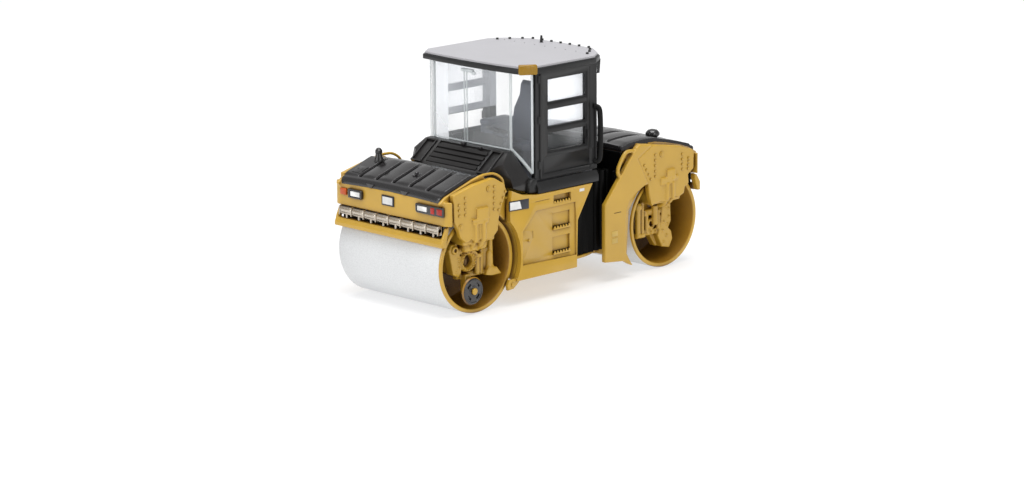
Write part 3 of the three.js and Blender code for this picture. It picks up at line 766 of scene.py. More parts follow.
    def rod(self, path: Sequence[Point], radius: float, sides: int = 12,
            smooth: int = 6) -> "Builder":
        """Add a round rod along a smooth path with rounded ends.

        Args:
            path: points that the rod passes through.
            radius: its radius.
            sides: sides round it.
            smooth: steps between two points.

        Returns:
            This builder.
        """
        points = smooth_path([Vector(p) for p in path], smooth)
        rings = []
        side = None
        for i, point in enumerate(points):
            ahead = (points[min(i + 1, len(points) - 1)] - points[max(i - 1, 0)]).normalized()
            if side is None:
                side = ahead.orthogonal().normalized()
            side = (side - ahead * side.dot(ahead)).normalized()
            other = ahead.cross(side)
            turn = [2 * math.pi * k / sides for k in range(sides)]
            spokes = [radius * (math.cos(t) * side + math.sin(t) * other) for t in turn]
            rings.append([self.bm.verts.new(point + spoke) for spoke in spokes])
        for lower, upper in zip(rings, rings[1:]):
            self._bridge(lower, upper, sides)
        self.bm.faces.new(rings[0])
        self.bm.faces.new(rings[-1])
        self._moved([v for ring in rings for v in ring], Matrix.Identity(4))
        return self

    def bolt(self, place: Point, axis: Point, radius: float = 0.36,
             height: float = 0.26) -> "Builder":
        """Add a hexagon bolt head on a washer.

        Args:
            place: where the head sits.
            axis: which way it points.
            radius: across the head's corners, halved.
            height: how far the head stands out.

        Returns:
            This builder.
        """
        washer = [(0, 0), (radius * 1.25, 0), (radius * 1.25, height * 0.25),
                  (radius, height * 0.3)]
        head = [(radius, height * 0.3), (radius, height * 0.85), (radius * 0.8, height),
                (0, height)]
        self.turned([*washer, (0, height * 0.3)], place, axis, 16)
        self.turned([(0, height * 0.3), *head], place, axis, 6)
        return self

    def stud(self, place: Point, foot: Flat, crown: Flat, axis: Point = ACROSS,
             steps: int = 10) -> "Builder":
        """Add a short round stud with a low crown.

        Args:
            place: where it stands.
            foot: its radius at the foot and at the shoulder.
            crown: height of its shoulder and of its top.
            axis: which way it points.
            steps: sides round it.

        Returns:
            This builder.
        """
        profile = [(0, 0), (foot[0], 0), (foot[1], crown[0]), (0, crown[1])]
        return self.turned(profile, place, axis, steps)

    def pipe(self, x: float, y: float, radius: float, low: float, high: float,
             top: float = 0.0) -> "Builder":
        """Add an upright round bar with a chamfered upper end.

        Args:
            x: its place along the machine.
            y: its place across.
            radius: its radius at the foot.
            low: height of its foot.
            high: height of its head.
            top: its radius at the head, or 0 for the same as at the foot.

        Returns:
            This builder.
        """
        head = top or radius
        profile = [(0, 0), (radius * 0.9, 0), (radius, radius * 0.12),
                   (head, high - low - head * 0.15), (head * 0.85, high - low), (0, high - low)]
        return self.turned(profile, (x, y, low), UP, 20)

    def reversed_ends(self) -> "Builder":
        """Turn everything so far end for end, from the front drum to the rear drum."""
        bmesh.ops.translate(self.bm, vec=(-SHIFT_X * MM, 0, 0), verts=self.bm.verts)
        bmesh.ops.scale(self.bm, vec=(-1, 1, 1), verts=self.bm.verts)
        bmesh.ops.translate(self.bm, vec=(SHIFT_X * MM, 0, 0), verts=self.bm.verts)
        return self

    def mirrored(self, side: int) -> "Builder":
        """Flip everything so far to the machine's other side when side is -1.

        Args:
            side: 1 for left, -1 for right.

        Returns:
            This builder.
        """
        if side < 0:
            bmesh.ops.scale(self.bm, vec=(1, -1, 1), verts=self.bm.verts)
        return self

    def mesh(self, name: str) -> bpy.types.Mesh:
        """The mesh built so far."""
        return mesh_from(self.bm, name)

    def cast(self, name: str, body: Body, finish: Finish, replaces: Iterable[str] = (),
             cell: float = 0.13, relax: int = 2, keep: float = 0.4) -> bpy.types.Object:
        """Melt the solids into one casting and place it as a piece.

        Args:
            name: the piece's name.
            body: CAD body that it rides on.
            finish: what it is made of.
            replaces: CAD nodes that it stands for.
            cell: size of the surface's cells in millimetres.
            relax: rounds of smoothing.
            keep: share of the faces that stay.

        Returns:
            The new object.
        """
        return add_piece(name, melted(self.mesh(name), cell, relax, keep), body, finish, replaces,
                         60.0)

    def done(self, name: str, body: Body, finish: Finish, replaces: Iterable[str] = (),
             smooth_deg: float = 40.0) -> bpy.types.Object:
        """Finish the mesh and place it as a piece.

        Args:
            name: the piece's name.
            body: CAD body that it rides on.
            finish: what it is made of.
            replaces: CAD nodes that it stands for.
            smooth_deg: edges sharper than this stay hard.

        Returns:
            The new object.
        """
        return add_piece(name, mesh_from(self.bm, name), body, finish, replaces, smooth_deg)


def smooth_path(points: Sequence[Vector], steps: int) -> list[Vector]:
    """Points along a smooth curve through the given ones.

    Args:
        points: points that the curve passes through.
        steps: new points for each stretch.

    Returns:
        The finer points.
    """
    ends = [points[0] * 2 - points[1], *points, points[-1] * 2 - points[-2]]
    fine = []
    for a, b, c, d in zip(ends, ends[1:], ends[2:], ends[3:]):
        for i in range(steps):
            t = i / steps
            fine.append(0.5 * (2 * b + (c - a) * t + (2 * a - 5 * b + 4 * c - d) * t * t
                               + (3 * b - a - 3 * c + d) * t ** 3))
    return [*fine, points[-1]]


def circle(centre: Flat, radius: float, start: float, end: float, steps: int) -> list[Flat]:
    """Points on an arc, with its angles in degrees.

    Args:
        centre: middle of the arc.
        radius: its radius.
        start: angle of its first point, in degrees.
        end: angle of its last point.
        steps: stretches between the points.

    Returns:
        The points.
    """
    turns = [math.radians(start + (end - start) * i / steps) for i in range(steps + 1)]
    return [(centre[0] + radius * math.cos(t), centre[1] + radius * math.sin(t)) for t in turns]


def spaced(start: Flat, end: Flat, count: int) -> list[Flat]:
    """Evenly spaced points from one place to another.

    Args:
        start: the first point.
        end: the last point.
        count: how many there are.

    Returns:
        The points.
    """
    return [(start[0] + (end[0] - start[0]) * i / (count - 1),
             start[1] + (end[1] - start[1]) * i / (count - 1)) for i in range(count)]


# ---- sub-assemblies ------------------------------------------------------------------------


@dataclass
class Drum:
    """One drum: speckled skin, painted open ends with a web, and the axle's end."""

    body: Body
    prefix: str
    x: float
    radius: float = 10.16
    half: float = 14.6
    lip: float = 15.1
    wall: float = 0.5
    web: float = 6.0
    steps: int = 144

    def build(self) -> None:
        """Make the skin, the core and the bright end rims."""
        self.skin()
        self.core()
        self.rims()

    def rims(self) -> None:
        """Make the bright rims: over the skin's end on the left, inside it on the right."""
        kit, r = Builder(), self.radius - 0.06
        for side in SIDES.values():
            low, high = self.half - 0.1, self.lip
            edge = r if side > 0 else self.radius - self.wall - 0.03
            profile = [(9.3, low), (edge, low), (edge, high - 0.12), (edge - 0.1, high),
                       (9.45, high), (9.3, high - 0.15)]
            kit.ring([(a, side * b) for a, b in profile], (self.x, 0, self.radius), ACROSS,
                     self.steps)
        kit.done(self.prefix + "_rims", self.body, YELLOW)

    def skin(self) -> None:
        """Make the rolled skin with eased edges."""
        r, h, inner = self.radius, self.half, self.radius - self.wall
        far = self.lip - 0.04
        profile = [(inner, -far), (r - 0.08, -far), (r, -far + 0.08), (r, -h * 0.33), (r, h * 0.33),
                   (r, h - 0.05), (r - 0.05, h), (inner, h)]
        kit = Builder().ring(profile, (self.x, 0, self.radius), ACROSS, self.steps)
        kit.done(self.prefix + "_skin_finished", self.body, DRUM_COAT, [self.prefix + "_skin"], 50)

    def core(self) -> None:
        """Make the painted inside: end flanges, flared walls, webs, hub tubes and web bolts."""
        outer, bore = self.radius - self.wall - 0.03, 1.56
        half = [(bore, 9.9), (1.75, 10.0), (2.75, 10.0), (2.95, 9.85), (3.15, self.web + 0.3),
                (3.5, self.web), (8.2, self.web), (8.6, self.web + 0.15), (8.85, self.web + 0.6),
                (9.2, self.lip - 0.3), (9.34, self.lip - 0.1), (9.5, self.half - 0.2),
                (outer, self.half - 0.2)]
        profile = [*half, *[(r, -y) for r, y in reversed(half)]]
        kit = Builder().ring(profile, (self.x, 0, self.radius), ACROSS, self.steps)
        for side in SIDES.values():
            for turn in circle((self.x, self.radius), 6.6, 0, 315, 7):
                kit.bolt((turn[0], side * self.web, turn[1]), (0, side, 0), 0.5, 0.35)
        # The inside takes the darker copy of the yellow: painted shade over its real yellow paint.
        kit.done(self.prefix + "_core_finished", self.body, SHADED_YELLOW, [self.prefix + "_core"], 40)


@dataclass
class Hood:
    """A black ribbed hood that crowns across the machine, between the fender edges."""

    name: str
    body: Body
    line: Sequence[Flat]
    groove_from: float
    groove_to: float
    half: float = 14.55
    crown: float = 0.35
    thick: float = 1.05
    groove: float = 0.7
    groove_half: float = 0.66
    pillow: float = 0.3
    ribs: Sequence[float] = (-10, -5, 0, 5, 10)

    def dip(self, x: float, y: float) -> float:
        """How far a groove sinks the surface at a place, or how far a panel swells, below zero.

        Args:
            x: the place along the machine.
            y: the place across.

        Returns:
            The depth in millimetres.
        """
        nearest = min(abs(y - rib) for rib in self.ribs)
        across = 1 - min(1.0, max(0.0, nearest / self.groove_half - 0.7) / 0.15)
        low, high = sorted((self.groove_from, self.groove_to))
        along = min(1.0, max(0.0, min(x - low, high - x) / 0.4))
        swell = self.pillow * math.sin(min(1.0, nearest / 2.5) * math.pi / 2)
        return along * (self.groove * across - swell * (1 - across))

    def build(self) -> bpy.types.Object:
        """Make the hood's closed shell.

        Returns:
            The hood.
        """
        spine = smooth_path([Vector((x, 0, z)) for x, z in self.line], 6)
        columns = sorted({round(y, 3) for rib in self.ribs for y in self._round_rib(rib)}
                         | {-self.half, self.half, -13.6, 13.6})
        bm = bmesh.new()
        top, bottom = [], []
        for point in spine:
            swell = [self.crown * (1 - (y / self.half) ** 2) for y in columns]
            top.append([bm.verts.new(at(point.x, y, point.z + c - self.dip(point.x, y)))
                        for y, c in zip(columns, swell)])
            bottom.append([bm.verts.new(at(point.x, y, point.z + c - self.thick))
                           for y, c in zip(columns, swell)])
        for rows in (top, bottom):
            for a, b in zip(rows, rows[1:]):
                self._strip(bm, a, b)
        for ends in ((top[0], bottom[0]), (top[-1], bottom[-1])):
            self._strip(bm, *ends)
        for k in (0, -1):
            self._strip(bm, [row[k] for row in top], [row[k] for row in bottom])
        self.groove_shade_strips(spine)
        mesh = with_modifiers(mesh_from(bm, self.name), rounded(0.1, 2, 50))
        return add_piece(self.name + "_finished", mesh, self.body, BLACK, [self.name], 32)

    def groove_shade_strips(self, spine: Sequence[Vector]) -> None:
        """Lay a near-black strip of painted shade along each groove's floor, where the gloss never
        reaches.

        Args:
            spine: the hood's line.
        """
        low, high = sorted((self.groove_from, self.groove_to))
        bm = bmesh.new()
        for rib in self.ribs:
            rows = []
            for point in (p for p in spine if low + 0.35 < p.x < high - 0.35):
                level = point.z + self.crown * (1 - (rib / self.half) ** 2) - self.groove
                half = self.groove_half * 0.72
                places = [(rib - half, level - 0.1), (rib - half, level + 0.04),
                          (rib + half, level + 0.04), (rib + half, level - 0.1)]
                rows.append([bm.verts.new(at(point.x, y, z)) for y, z in places])
            for a, b in zip(rows, rows[1:]):
                self._strip(bm, [*a, a[0]], [*b, b[0]])
            for ends in (rows[0], rows[-1]):
                bm.faces.new(ends)
        # The strips are near-black painted shade.
        add_piece(self.name + "_groove_shade_strips", mesh_from(bm, self.name + "_floors"), self.body,
                  SHADE_AND_SEAM_BLACK)

    def _round_rib(self, rib: float) -> list[float]:
        """Places across a groove where its edges turn, and across the panel beside it.

        Args:
            rib: the groove's middle.

        Returns:
            The places across the machine.
        """
        w = self.groove_half
        return [rib - w, rib - w * 0.85, rib - w * 0.7, rib, rib + w * 0.7, rib + w * 0.85, rib + w,
                rib + 1.3, rib + 2.5, rib + 3.7]

    def _strip(self, bm: bmesh.types.BMesh, a: list[bmesh.types.BMVert],
               b: list[bmesh.types.BMVert]) -> None:
        """Join two rows of vertices with faces.

        Args:
            bm: mesh that holds them.
            a: one row.
            b: the next row, as long as the first.
        """
        for i in range(len(a) - 1):
            bm.faces.new((a[i], a[i + 1], b[i + 1], b[i]))


def filler_cap(kit: Builder, x: float, y: float, z: float, base: float, head: float,
               height: float) -> Builder:
    """Add a filler cap with a tapered neck, a knurled head and a domed top.

    Args:
        kit: builder to add to.
        x: its place along the machine.
        y: its place across.
        z: height of its foot.
        base: radius of its foot.
        head: radius of its head.
        height: its full height.

    Returns:
        The builder.
    """
    neck = [(0, 0), (base, 0), (base, height * 0.1), (base * 0.8, height * 0.2),
            (head * 0.8, height * 0.44)]
    cap = [(head * 0.96, height * 0.46), (head, height * 0.5), (head, height * 0.72),
           (head * 0.93, height * 0.8), (head * 0.72, height * 0.93), (head * 0.35, height),
           (0, height)]
    kit.turned([*neck, *cap], (x, y, z), UP, 40)
    for i in range(14):
        turn = 2 * math.pi * i / 14
        knurl_x, knurl_y = x + head * math.cos(turn), y + head * math.sin(turn)
        kit.box((knurl_x - 0.06, knurl_y - 0.06, z + height * 0.5),
                (knurl_x + 0.06, knurl_y + 0.06, z + height * 0.72), 0.02)
    return kit


@dataclass
class FrontNose:
    """The casting over the front drum with its hood, cap, latch, lid, lamps, badge and beam."""

    line: Sequence[Flat] = ((37.05, 24.8), (36.6, 25.25), (35.0, 25.95), (33.1, 26.55),
                            (31.0, 27.25), (29.0, 27.9), (27.6, 28.0), (26.0, 27.75), (23.8, 27.05),
                            (21.25, 26.3))
    lamp_low: float = 21.3
    lamp_high: float = 23.2

    def build(self) -> None:
        """Make every piece of the nose."""
        cast_copy("front_body", Body.FRONT, YELLOW, 0.17, 2)
        Hood("front_hood", Body.FRONT, self.line, 36.1, 28.2).build()
        self.hood_fittings()
        self.lamps()
        self.badge()
        self.beam()
        softened("front_axle", Body.FRONT, STEEL)

    def hood_fittings(self) -> None:
        """Make the filler cap, the lid, the star latch and the lip's tabs."""
        profile = [(0, 0), (1.0, 0), (1.0, 0.55), (0.92, 0.95), (0.74, 1.35), (0.66, 2.0),
                   (0.74, 2.08), (0.74, 2.62), (0.66, 2.7), (0.5, 2.98), (0.3, 3.12), (0, 3.12)]
        cap = Builder().turned(profile, (29.7, -11.2, 27.4), UP, 40)
        cap.done("front_cap_finished", Body.FRONT, RAMP_BLACK, ["front_cap"])
        kit = Builder()
        slope = Matrix.Rotation(math.radians(19), 4, "Y")
        kit.box((32.9, -13.3, 26.42), (35.4, -10.7, 26.72), 0.1, slope)
        for y in (-12.7, -11.5):
            kit.stud((34.0, y, 26.7), (0.2, 0.2), (0.12, 0.2), (0.33, 0, 1), 12)
        star = [(32.35 + r * math.cos(a), 3.0 + r * math.sin(a)) for a, r in
                ((math.radians(30 * i), 0.95 if i % 2 else 0.62) for i in range(12))]
        kit.plate(star, 26.9, 27.6, "XY", 0.08)
        kit.turned([(0, 0), (0.42, 0), (0.38, 0.45), (0.2, 0.55), (0, 0.55)], (32.35, 3.0, 27.5),
                   (0.25, 0, 1), 16)
        for y in (-5.7, 4.4):
            tab = [(y - 1.2, 24.95), (y + 1.2, 24.95), (y + 0.35, 24.15), (y - 0.35, 24.15)]
            kit.plate(tab, 36.95, 37.3, "YZ", 0.05)
        kit.done("front_hood_fittings", Body.FRONT, BLACK)

    def lamps(self) -> None:
        """Make both lamp clusters: housing, white lamp and coloured markers."""
        low, high = self.lamp_low, self.lamp_high
        for name, side in SIDES.items():
            end = 15.9 if side > 0 else 12.1
            outline = [(8.35, low), (8.0, low + 0.4), (8.0, high - 0.2), (8.2, high), (end, high),
                       (end, low)]
            shell = Builder().plate(outline, 37.0, 37.62, "YZ", 0.1)
            pocket = Builder().box((37.35, 8.4, low + 0.3), (38.0, 11.45, high - 0.35), 0)
            kit = Builder()
            kit.bm.from_mesh(carved(shell.mesh("housing"), [pocket.mesh("pocket")]))
            node = "lamp_housing_" + name
            kit.mirrored(side).done(node + "_finished", Body.FRONT, BLACK, [node])
            lamp = Builder().box((37.3, 8.55, low + 0.42), (37.66, 11.3, high - 0.45), 0.12)
            node = "headlamp_" + name
            lamp.mirrored(side).done(node + "_finished", Body.FRONT, WHITE_LENS, [node])
        for name, y, z, width in (("inner", 12.5, high - 1.05, 1.05),
                                  ("inner_low", 12.5, low + 0.3, 1.05),
                                  ("outer", 14.25, low + 0.35, 1.5)):
            top = z + 0.72 if width < 1.2 else high - 0.35
            marker = Builder().box((37.42, y, z), (37.72, y + width, top), 0.1)
            marker.done("red_marker_" + name, Body.FRONT, RED_LENS)
        marker = Builder().box((36.95, -14.7, low + 0.3), (37.42, -12.9, high - 0.25), 0.14)
        marker.done("orange_marker", Body.FRONT, ORANGE)

    def badge(self) -> None:
        """Make the blank badge plate between the lamps."""
        frame_plate = Builder().box((36.95, -2.3, 21.2), (37.3, 1.3, 23.3), 0.1)
        frame_plate.done("nose_badge_frame", Body.FRONT, BADGE_DARK)
        blank = Builder().box((37.2, -1.95, 21.5), (37.36, 0.95, 23.0), 0.05)
        blank.done("nose_badge_blank", Body.FRONT, BADGE_PALE)

    def beam(self) -> None:
        """Make the stepped cross beam and its end brackets."""
        kit = Builder()
        section = [(36.6, 15.05), (37.8, 15.0), (37.95, 15.2), (37.95, 15.9), (37.75, 16.15),
                   (37.6, 16.8), (36.6, 16.9)]
        kit.plate(section, -16.0, 16.0, "XZ", 0.14)
        for side in SIDES.values():
            bracket = [(37.55, 15.2), (37.6, 16.9), (36.7, 18.9), (35.9, 19.25), (35.9, 18.4),
                       (36.75, 15.2)]
            low, high = sorted((side * 15.3, side * 15.95))
            kit.plate(bracket, low, high, "XZ", 0.12)
        kit.cast("front_bumper_finished", Body.FRONT, YELLOW, ["front_bumper"], 0.15, 2)


@dataclass
class WaterBar:
    """A silver water bar in clamped channel sections, over a drum."""

    name: str
    body: Body
    x: float
    z: float = 18.35
    half: float = 14.7
    sections: int = 8

    def build(self) -> None:
        """Make the channels, the clamps, the struts and the near-black strip of painted shade
        behind them.
        """
        out = 1 if self.x > 0 else -1
        length = 2 * self.half / self.sections
        kit, pipes = Builder(), Builder()
        for i in range(self.sections):
            low = -self.half + i * length + 0.2
            high = low + length - 0.4
            section = [(-0.5, -0.7), (0.2, -0.72), (0.5, -0.3), (0.5, 0.35), (0.2, 0.78),
                       (-0.5, 0.8)]
            kit.plate([(self.x + out * a, self.z + b) for a, b in section], low, high, "XZ", 0.15)
            middle = (low + high) / 2
            for lift, reach in ((0.38, 0.38), (-0.3, 0.42)):
                near, level = self.x + out * reach, self.z + lift
                sag = (self.x + out * (reach + 0.12), middle, self.z + lift - 0.1)
                kit.rod([(near, low + 0.2, level), sag, (near, high - 0.2, level)], 0.16, 8, 4)
            pipes.rod([(self.x, middle, self.z - 0.5), (self.x, middle, self.z - 1.45)], 0.25, 8, 1)
        for i in range(self.sections + 1):
            y = max(-self.half, min(self.half - 0.26, -self.half + i * length - 0.13))
            kit.box((self.x - 0.6, y, self.z - 0.95), (self.x + 0.6, y + 0.26, self.z + 0.95), 0.08)
        kit.rod([(self.x, -self.half, self.z), (self.x, self.half, self.z)], 0.42, 12, 1)
        kit.done(self.name + "_finished", self.body, SILVER, [self.name])
        pipes.done(self.name + "_struts", self.body, SILVER)
        # Painted shade: a near-black strip behind the bar darkens the gap between bar and nose.
        edges = sorted((self.x - out * 1.0, self.x - out * 0.7))
        shade_backing = Builder().box((edges[0], -self.half, self.z - 2.0),
                                (edges[1], self.half, self.z + 1.1), 0.05)
        shade_backing.done(self.name + "_backing", self.body, SHADE_AND_SEAM_BLACK)


def motor_box(kit: Builder, left: float, right: float, top: float, step: float, low: float,
              face: float) -> Builder:
    """Add the raised motor box on an arm's plate with two upright pipes below it.

    Args:
        kit: builder to add to.
        left: the box's edge nearer the machine's front.
        right: its other edge.
        top: height of its top.
        step: height of the ledge across it.
        low: height of its foot.
        face: the plate's outer face.

    Returns:
        The builder.
    """
    inner = (left + right) / 2
    kit.box((right, face - 0.4, step - 0.1), (left - 1.0, face + 0.45, top), 0.12)
    kit.box((right, face - 0.4, step), (right + 1.1, face + 0.47, top - 0.5), 0.1)
    kit.box((right, face - 0.4, low), (left, face + 0.34, step), 0.1)
    kit.box((right - 0.3, face - 0.4, step - 0.25), (left + 0.2, face + 0.46, step + 0.12), 0.05)
    for x, radius in ((left - 0.85, 0.5), (right + 1.15, 0.72)):
        kit.pipe(x, face - radius + 0.45, radius, 15.1, low + 0.3)
        kit.rod([(x, face - radius + 0.42, 15.6), (x, face - 1.1, 14.3),
                 (x - 0.1, face - 2.4, 13.2)], radius, 14, 6)
    kit.box((inner - 0.15, face - 0.4, 15.6), (inner + 0.15, face + 0.2, low), 0.05)
    return kit


@dataclass
class FrontArm:
    """Both fork arms of the front drum: plate, motor casting, ram, flange and bolts."""

    face: float = 16.78
    outline: Sequence[Flat] = ((35.35, 25.5), (35.2, 20.1), (33.9, 18.2), (33.4, 16.6),
                               (32.0, 15.4), (31.2, 15.5), (30.5, 15.9), (29.6, 15.2), (28.6, 15.1),
                               (27.75, 15.8), (26.9, 15.2), (25.6, 15.1), (24.3, 15.45),
                               (23.1, 16.5), (22.65, 19.9), (21.3, 22.6), (20.6, 24.4),
                               (21.4, 25.95), (23.9, 27.35), (24.6, 27.45), (29.5, 26.9),
                               (34.8, 25.65))
    bolt_rows: Sequence[tuple[Flat, Flat, int]] = (((32.22, 24.57), (32.22, 21.17), 4),
                                                   ((33.95, 23.4), (33.85, 21.2), 3),
                                                   ((24.15, 25.7), (24.25, 21.1), 5),
                                                   ((21.05, 24.2), (22.95, 20.75), 4))
    big_bolts: Sequence[Flat] = ((25.68, 25.5), (33.45, 18.85))
    node: str = "front_arm_"
    body: Body = Body.FRONT

    def build(self) -> None:
        """Make the arm on each side."""
        for name, side in SIDES.items():
            self.casting(name, side)
            self.bolts(name, side)

    def placed(self, kit: Builder, side: int) -> Builder:
        """Take a finished arm to its own side."""
        return kit.mirrored(side)

    def casting(self, name: str, side: int) -> None:
        """Make one arm's casting.

        Args:
            name: left or right.
            side: 1 for left, -1 for right.
        """
        kit = Builder()
        kit.plate(self.outline, 15.5, self.face, "XZ", 0.18)
        motor_box(kit, 30.3, 26.0, 22.0, 19.8, 18.7, self.face)
        kit.box((23.4, 12.0, 14.6), (32.2, 16.2, 17.4), 0.4)
        kit.box((24.4, 12.4, 12.8), (31.0, 15.4, 15.2), 0.8)
        back = [(34.0, 14.0), (33.0, 15.6), (22.4, 15.9), (21.2, 13.6), (20.9, 8.6), (20.2, 7.2),
                (25.6, 7.2), (31.6, 7.9), (32.8, 8.6)]
        kit.plate(back, 10.5, 11.9, "XZ", 0.2)
        self.flange(kit)
        self.ram(kit)
        self.cylinders(kit)
        if side > 0:
            kit.box((28.4, 12.6, 3.9), (30.0, 14.4, 8.2), 0.3)
            pin = [(0, 0), (0.95, 0), (0.95, 1.0), (0.5, 1.05), (0.48, 2.4), (0, 2.4)]
            kit.turned(pin, (29.2, 14.0, 4.85), ACROSS, 24)
        node = self.node + name
        self.placed(kit, side).cast(node + "_casting", self.body, YELLOW, [node], CASTING_CELL, 2)

    def flange(self, kit: Builder) -> None:
        """Add the eyed flange at the front and the bolted ring round the motor.

        Args:
            kit: builder to add to.
        """
        kit.plate([(34.0, 13.6), (33.3, 14.7), (31.9, 14.7), (31.0, 13.2), (30.6, 8.6), (31.4, 7.7),
                   (32.9, 8.4)], 11.8, 13.9, "XZ", 0.2)
        kit.ring([(0.38, 0), (0.8, 0), (0.85, 0.5), (0.6, 0.7), (0.38, 0.65)], (32.7, 13.8, 13.55),
                 ACROSS, 24)
        collar = [(1.15, 0), (2.15, 0), (2.2, 1.6), (2.0, 2.0), (1.75, 2.1), (1.3, 1.7)]
        kit.ring(collar, (28.95, 12.2, 10.7), ACROSS, 40)
        kit.turned([(0, 0), (0.85, 0), (0.8, 0.9), (0.4, 1.1), (0, 1.1)], (28.95, 11.8, 10.7),
                   ACROSS, 24)
        for turn in circle((28.95, 10.7), 1.72, 0, 337.5, 15):
            kit.stud((turn[0], 14.2, turn[1]), (0.2, 0.18), (0.3, 0.36))
        for x, z in ((31.62, 11.55), (31.5, 10.6), (31.46, 9.67), (32.2, 8.9)):
            kit.stud((x, 13.8, z), (0.26, 0.22), (0.25, 0.3))

    def ram(self, kit: Builder) -> None:
        """Add the upright ram behind the motor with its flared foot.

        Args:
            kit: builder to add to.
        """
        kit.pipe(22.45, 13.7, 0.5, 11.6, 16.2)
        kit.turned([(0, 0), (1.15, 0), (1.15, 0.35), (0.85, 0.9), (0.78, 3.4), (0.6, 3.9),
                    (0, 3.9)], (22.7, 13.6, 8.0), UP, 28)
        kit.plate([(24.2, 7.9), (24.4, 7.1), (22.6, 6.75), (19.9, 6.75), (20.6, 7.5), (21.3, 8.4),
                   (23.6, 8.5)], 11.6, 14.6, "XZ", 0.2)
        kit.box((21.2, 11.6, 8.2), (24.0, 13.4, 12.6), 0.3)

    def cylinders(self, kit: Builder) -> None:
        """Add the two short cylinders between the ring and the ram, and the hoses over them.

        Args:
            kit: builder to add to.
        """
        kit.pipe(26.1, 13.5, 0.62, 7.6, 11.2)
        kit.pipe(24.75, 13.2, 0.55, 7.4, 12.6)
        kit.turned([(0, 0), (0.95, 0), (1.0, 0.3), (0.95, 0.8), (0, 0.9)], (26.0, 13.5, 11.1), UP,
                   24)
        kit.turned([(0, 0), (0.9, 0), (1.0, 0.5), (0.7, 1.1), (0, 1.3)], (27.7, 13.2, 12.2),
                   (0, 0.3, 1), 24)
        kit.turned([(0, 0), (0.8, 0), (0.85, 0.5), (0.5, 1.0), (0, 1.1)], (24.9, 13.4, 12.7),
                   (0, 0.3, 1), 24)
        kit.rod([(30.9, 13.6, 12.6), (29.6, 14.2, 13.4), (28.0, 14.1, 13.0), (26.6, 14.0, 12.0)],
                0.3, 10, 6)
        kit.box((23.6, 11.6, 7.0), (31.2, 13.0, 8.3), 0.3)

    def bolts(self, name: str, side: int) -> None:
        """Make one arm's rows of bolt heads.

        Args:
            name: left or right.
            side: 1 for left, -1 for right.
        """
        kit = Builder()
        for start, end, count in self.bolt_rows:
            for x, z in spaced(start, end, count):
                kit.bolt((x, self.face - 0.03, z), ACROSS, 0.26, 0.24)
        for x, z in self.big_bolts:
            kit.turned([(0, 0), (0.62, 0), (0.6, 0.16), (0.34, 0.2), (0.34, 0.28), (0, 0.28)],
                       (x, self.face - 0.03, z), ACROSS, 24)
        self.placed(kit, side).done(self.node + name + "_bolts", self.body, YELLOW)


